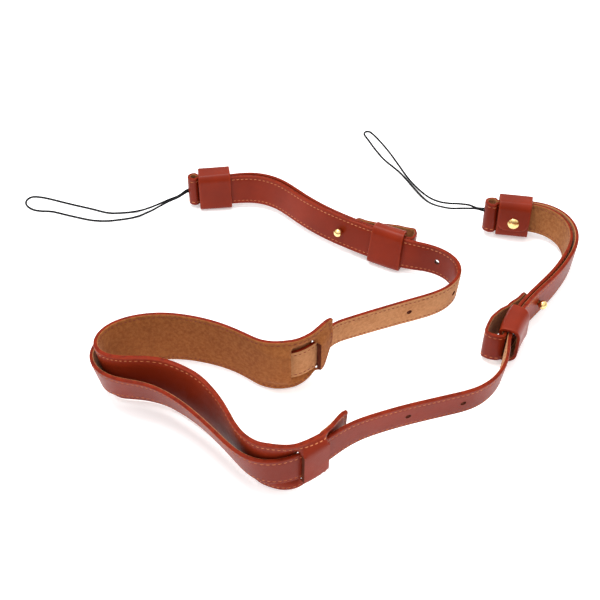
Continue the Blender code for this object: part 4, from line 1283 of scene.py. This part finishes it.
def stud_outline():
    """Base, post and ball."""
    base = FIRST_LAYER + END_THICK / 2 + GAP
    ball = GRAIN_ROOM - BALL_RADIUS * BALL_STAND
    points = [(0, base + STUD_BASE_THICK), (STUD_BASE_RADIUS - 0.0003, base + STUD_BASE_THICK)]
    points += [(STUD_BASE_RADIUS, base + STUD_BASE_THICK - 0.0003), (STUD_BASE_RADIUS, base)]
    points += [(POST_RADIUS, base), (POST_RADIUS, GRAIN_ROOM)]
    neck = math.asin(POST_RADIUS / BALL_RADIUS)
    for index in range(1, BALL_STEPS + 1):
        angle = neck + (math.pi - neck) * index / BALL_STEPS
        points.append((BALL_RADIUS * math.sin(angle), ball + BALL_RADIUS * math.cos(angle)))
    points[-1] = (0, ball - BALL_RADIUS)
    return points


def rivet_outline():
    """Post and dome, with a small rolled rim."""
    foot = FLAP_FACE + RIVET_STAND
    points = [(0, STRAP_FACE + GAP), (POST_RADIUS, STRAP_FACE + GAP), (POST_RADIUS, foot)]
    points += [(RIVET_RADIUS - 0.0002, foot), (RIVET_RADIUS, foot + 0.0003)]
    for share in (0.30, 0.45, 0.60, 0.75, 0.87, 0.95, 0.99):
        points.append((RIVET_RADIUS * math.sqrt(1 - share * share), foot + RIVET_HEIGHT * share))
    return points + [(0, foot + RIVET_HEIGHT)]


for side in (LEFT, RIGHT):
    at = side.to_station(side.stud)
    turn_brass(side.name + "_ball_stud", side.name + "_stud", stud_outline(), at, 0)
    at = side.to_station(KEEPER_LENGTH / 2 - KEEPER_LIP)
    turn_brass(side.name + "_dome_rivet", side.name + "_rivet", rivet_outline(), at, -RIVET_BELOW)

# %% [markdown]
# ## Floor and light
# A pale sheet of paper that glows a little, so that hardly a shadow is left on it. The sky is
# bright overhead and fades towards the horizon, and one lamp, high up and a little behind, adds
# the bright line along every upper edge.

# %% Floor and light
bpy.context.scene.view_settings.view_transform = "Standard"


def paper_finish():
    """Smooth pale paper."""
    finish = Finish("paper")
    fibre = finish.noise(900, 3)
    colour = finish.mixed(fibre * 0.3, (0.93, 0.93, 0.93), (0.96, 0.96, 0.96))
    return finish.shade(
        Base_Color=colour, Roughness=0.85, Specular_IOR_Level=0.1,
        Emission_Color=colour, Emission_Strength=0.35,
    )


start_alone()
bpy.ops.mesh.primitive_grid_add(x_subdivisions=8, y_subdivisions=8, size=6, location=(0, 1.2, 0))
floor = bpy.context.object
bpy.ops.object.transform_apply(location=True, rotation=False, scale=False)
floor.name = "floor"
paint(floor, paper_finish())

world = bpy.data.worlds.new("studio")
scene.world = world
world.use_nodes = True
sky = world.node_tree
background = sky.nodes["Background"]
background.inputs["Color"].default_value = (1, 1, 1, 1)
direction = sky.nodes.new("ShaderNodeTexCoord")
parts = sky.nodes.new("ShaderNodeSeparateXYZ")
fade = sky.nodes.new("ShaderNodeMapRange")
for name, value in (("From Min", 0.05), ("From Max", 0.75), ("To Min", 0.30), ("To Max", 1.55)):
    fade.inputs[name].default_value = value
sky.links.new(direction.outputs["Generated"], parts.inputs[0])
sky.links.new(parts.outputs["Z"], fade.inputs["Value"])
sky.links.new(fade.outputs[0], background.inputs["Strength"])

lamp_data = bpy.data.lights.new("overhead", "AREA")
lamp_data.shape = "RECTANGLE"
lamp_data.size, lamp_data.size_y = 0.8, 0.4
lamp_data.energy = 14
lamp = bpy.data.objects.new("overhead", lamp_data)
scene.collection.objects.link(lamp)
lamp.location = (-0.2, 0.25, 1.4)
to_strap = Vector((0, 0.02, 0)) - lamp.location
lamp.rotation_euler = to_strap.to_track_quat("-Z", "Y").to_euler()
print("lamp:", lamp.name, "at", tuple(lamp.location))
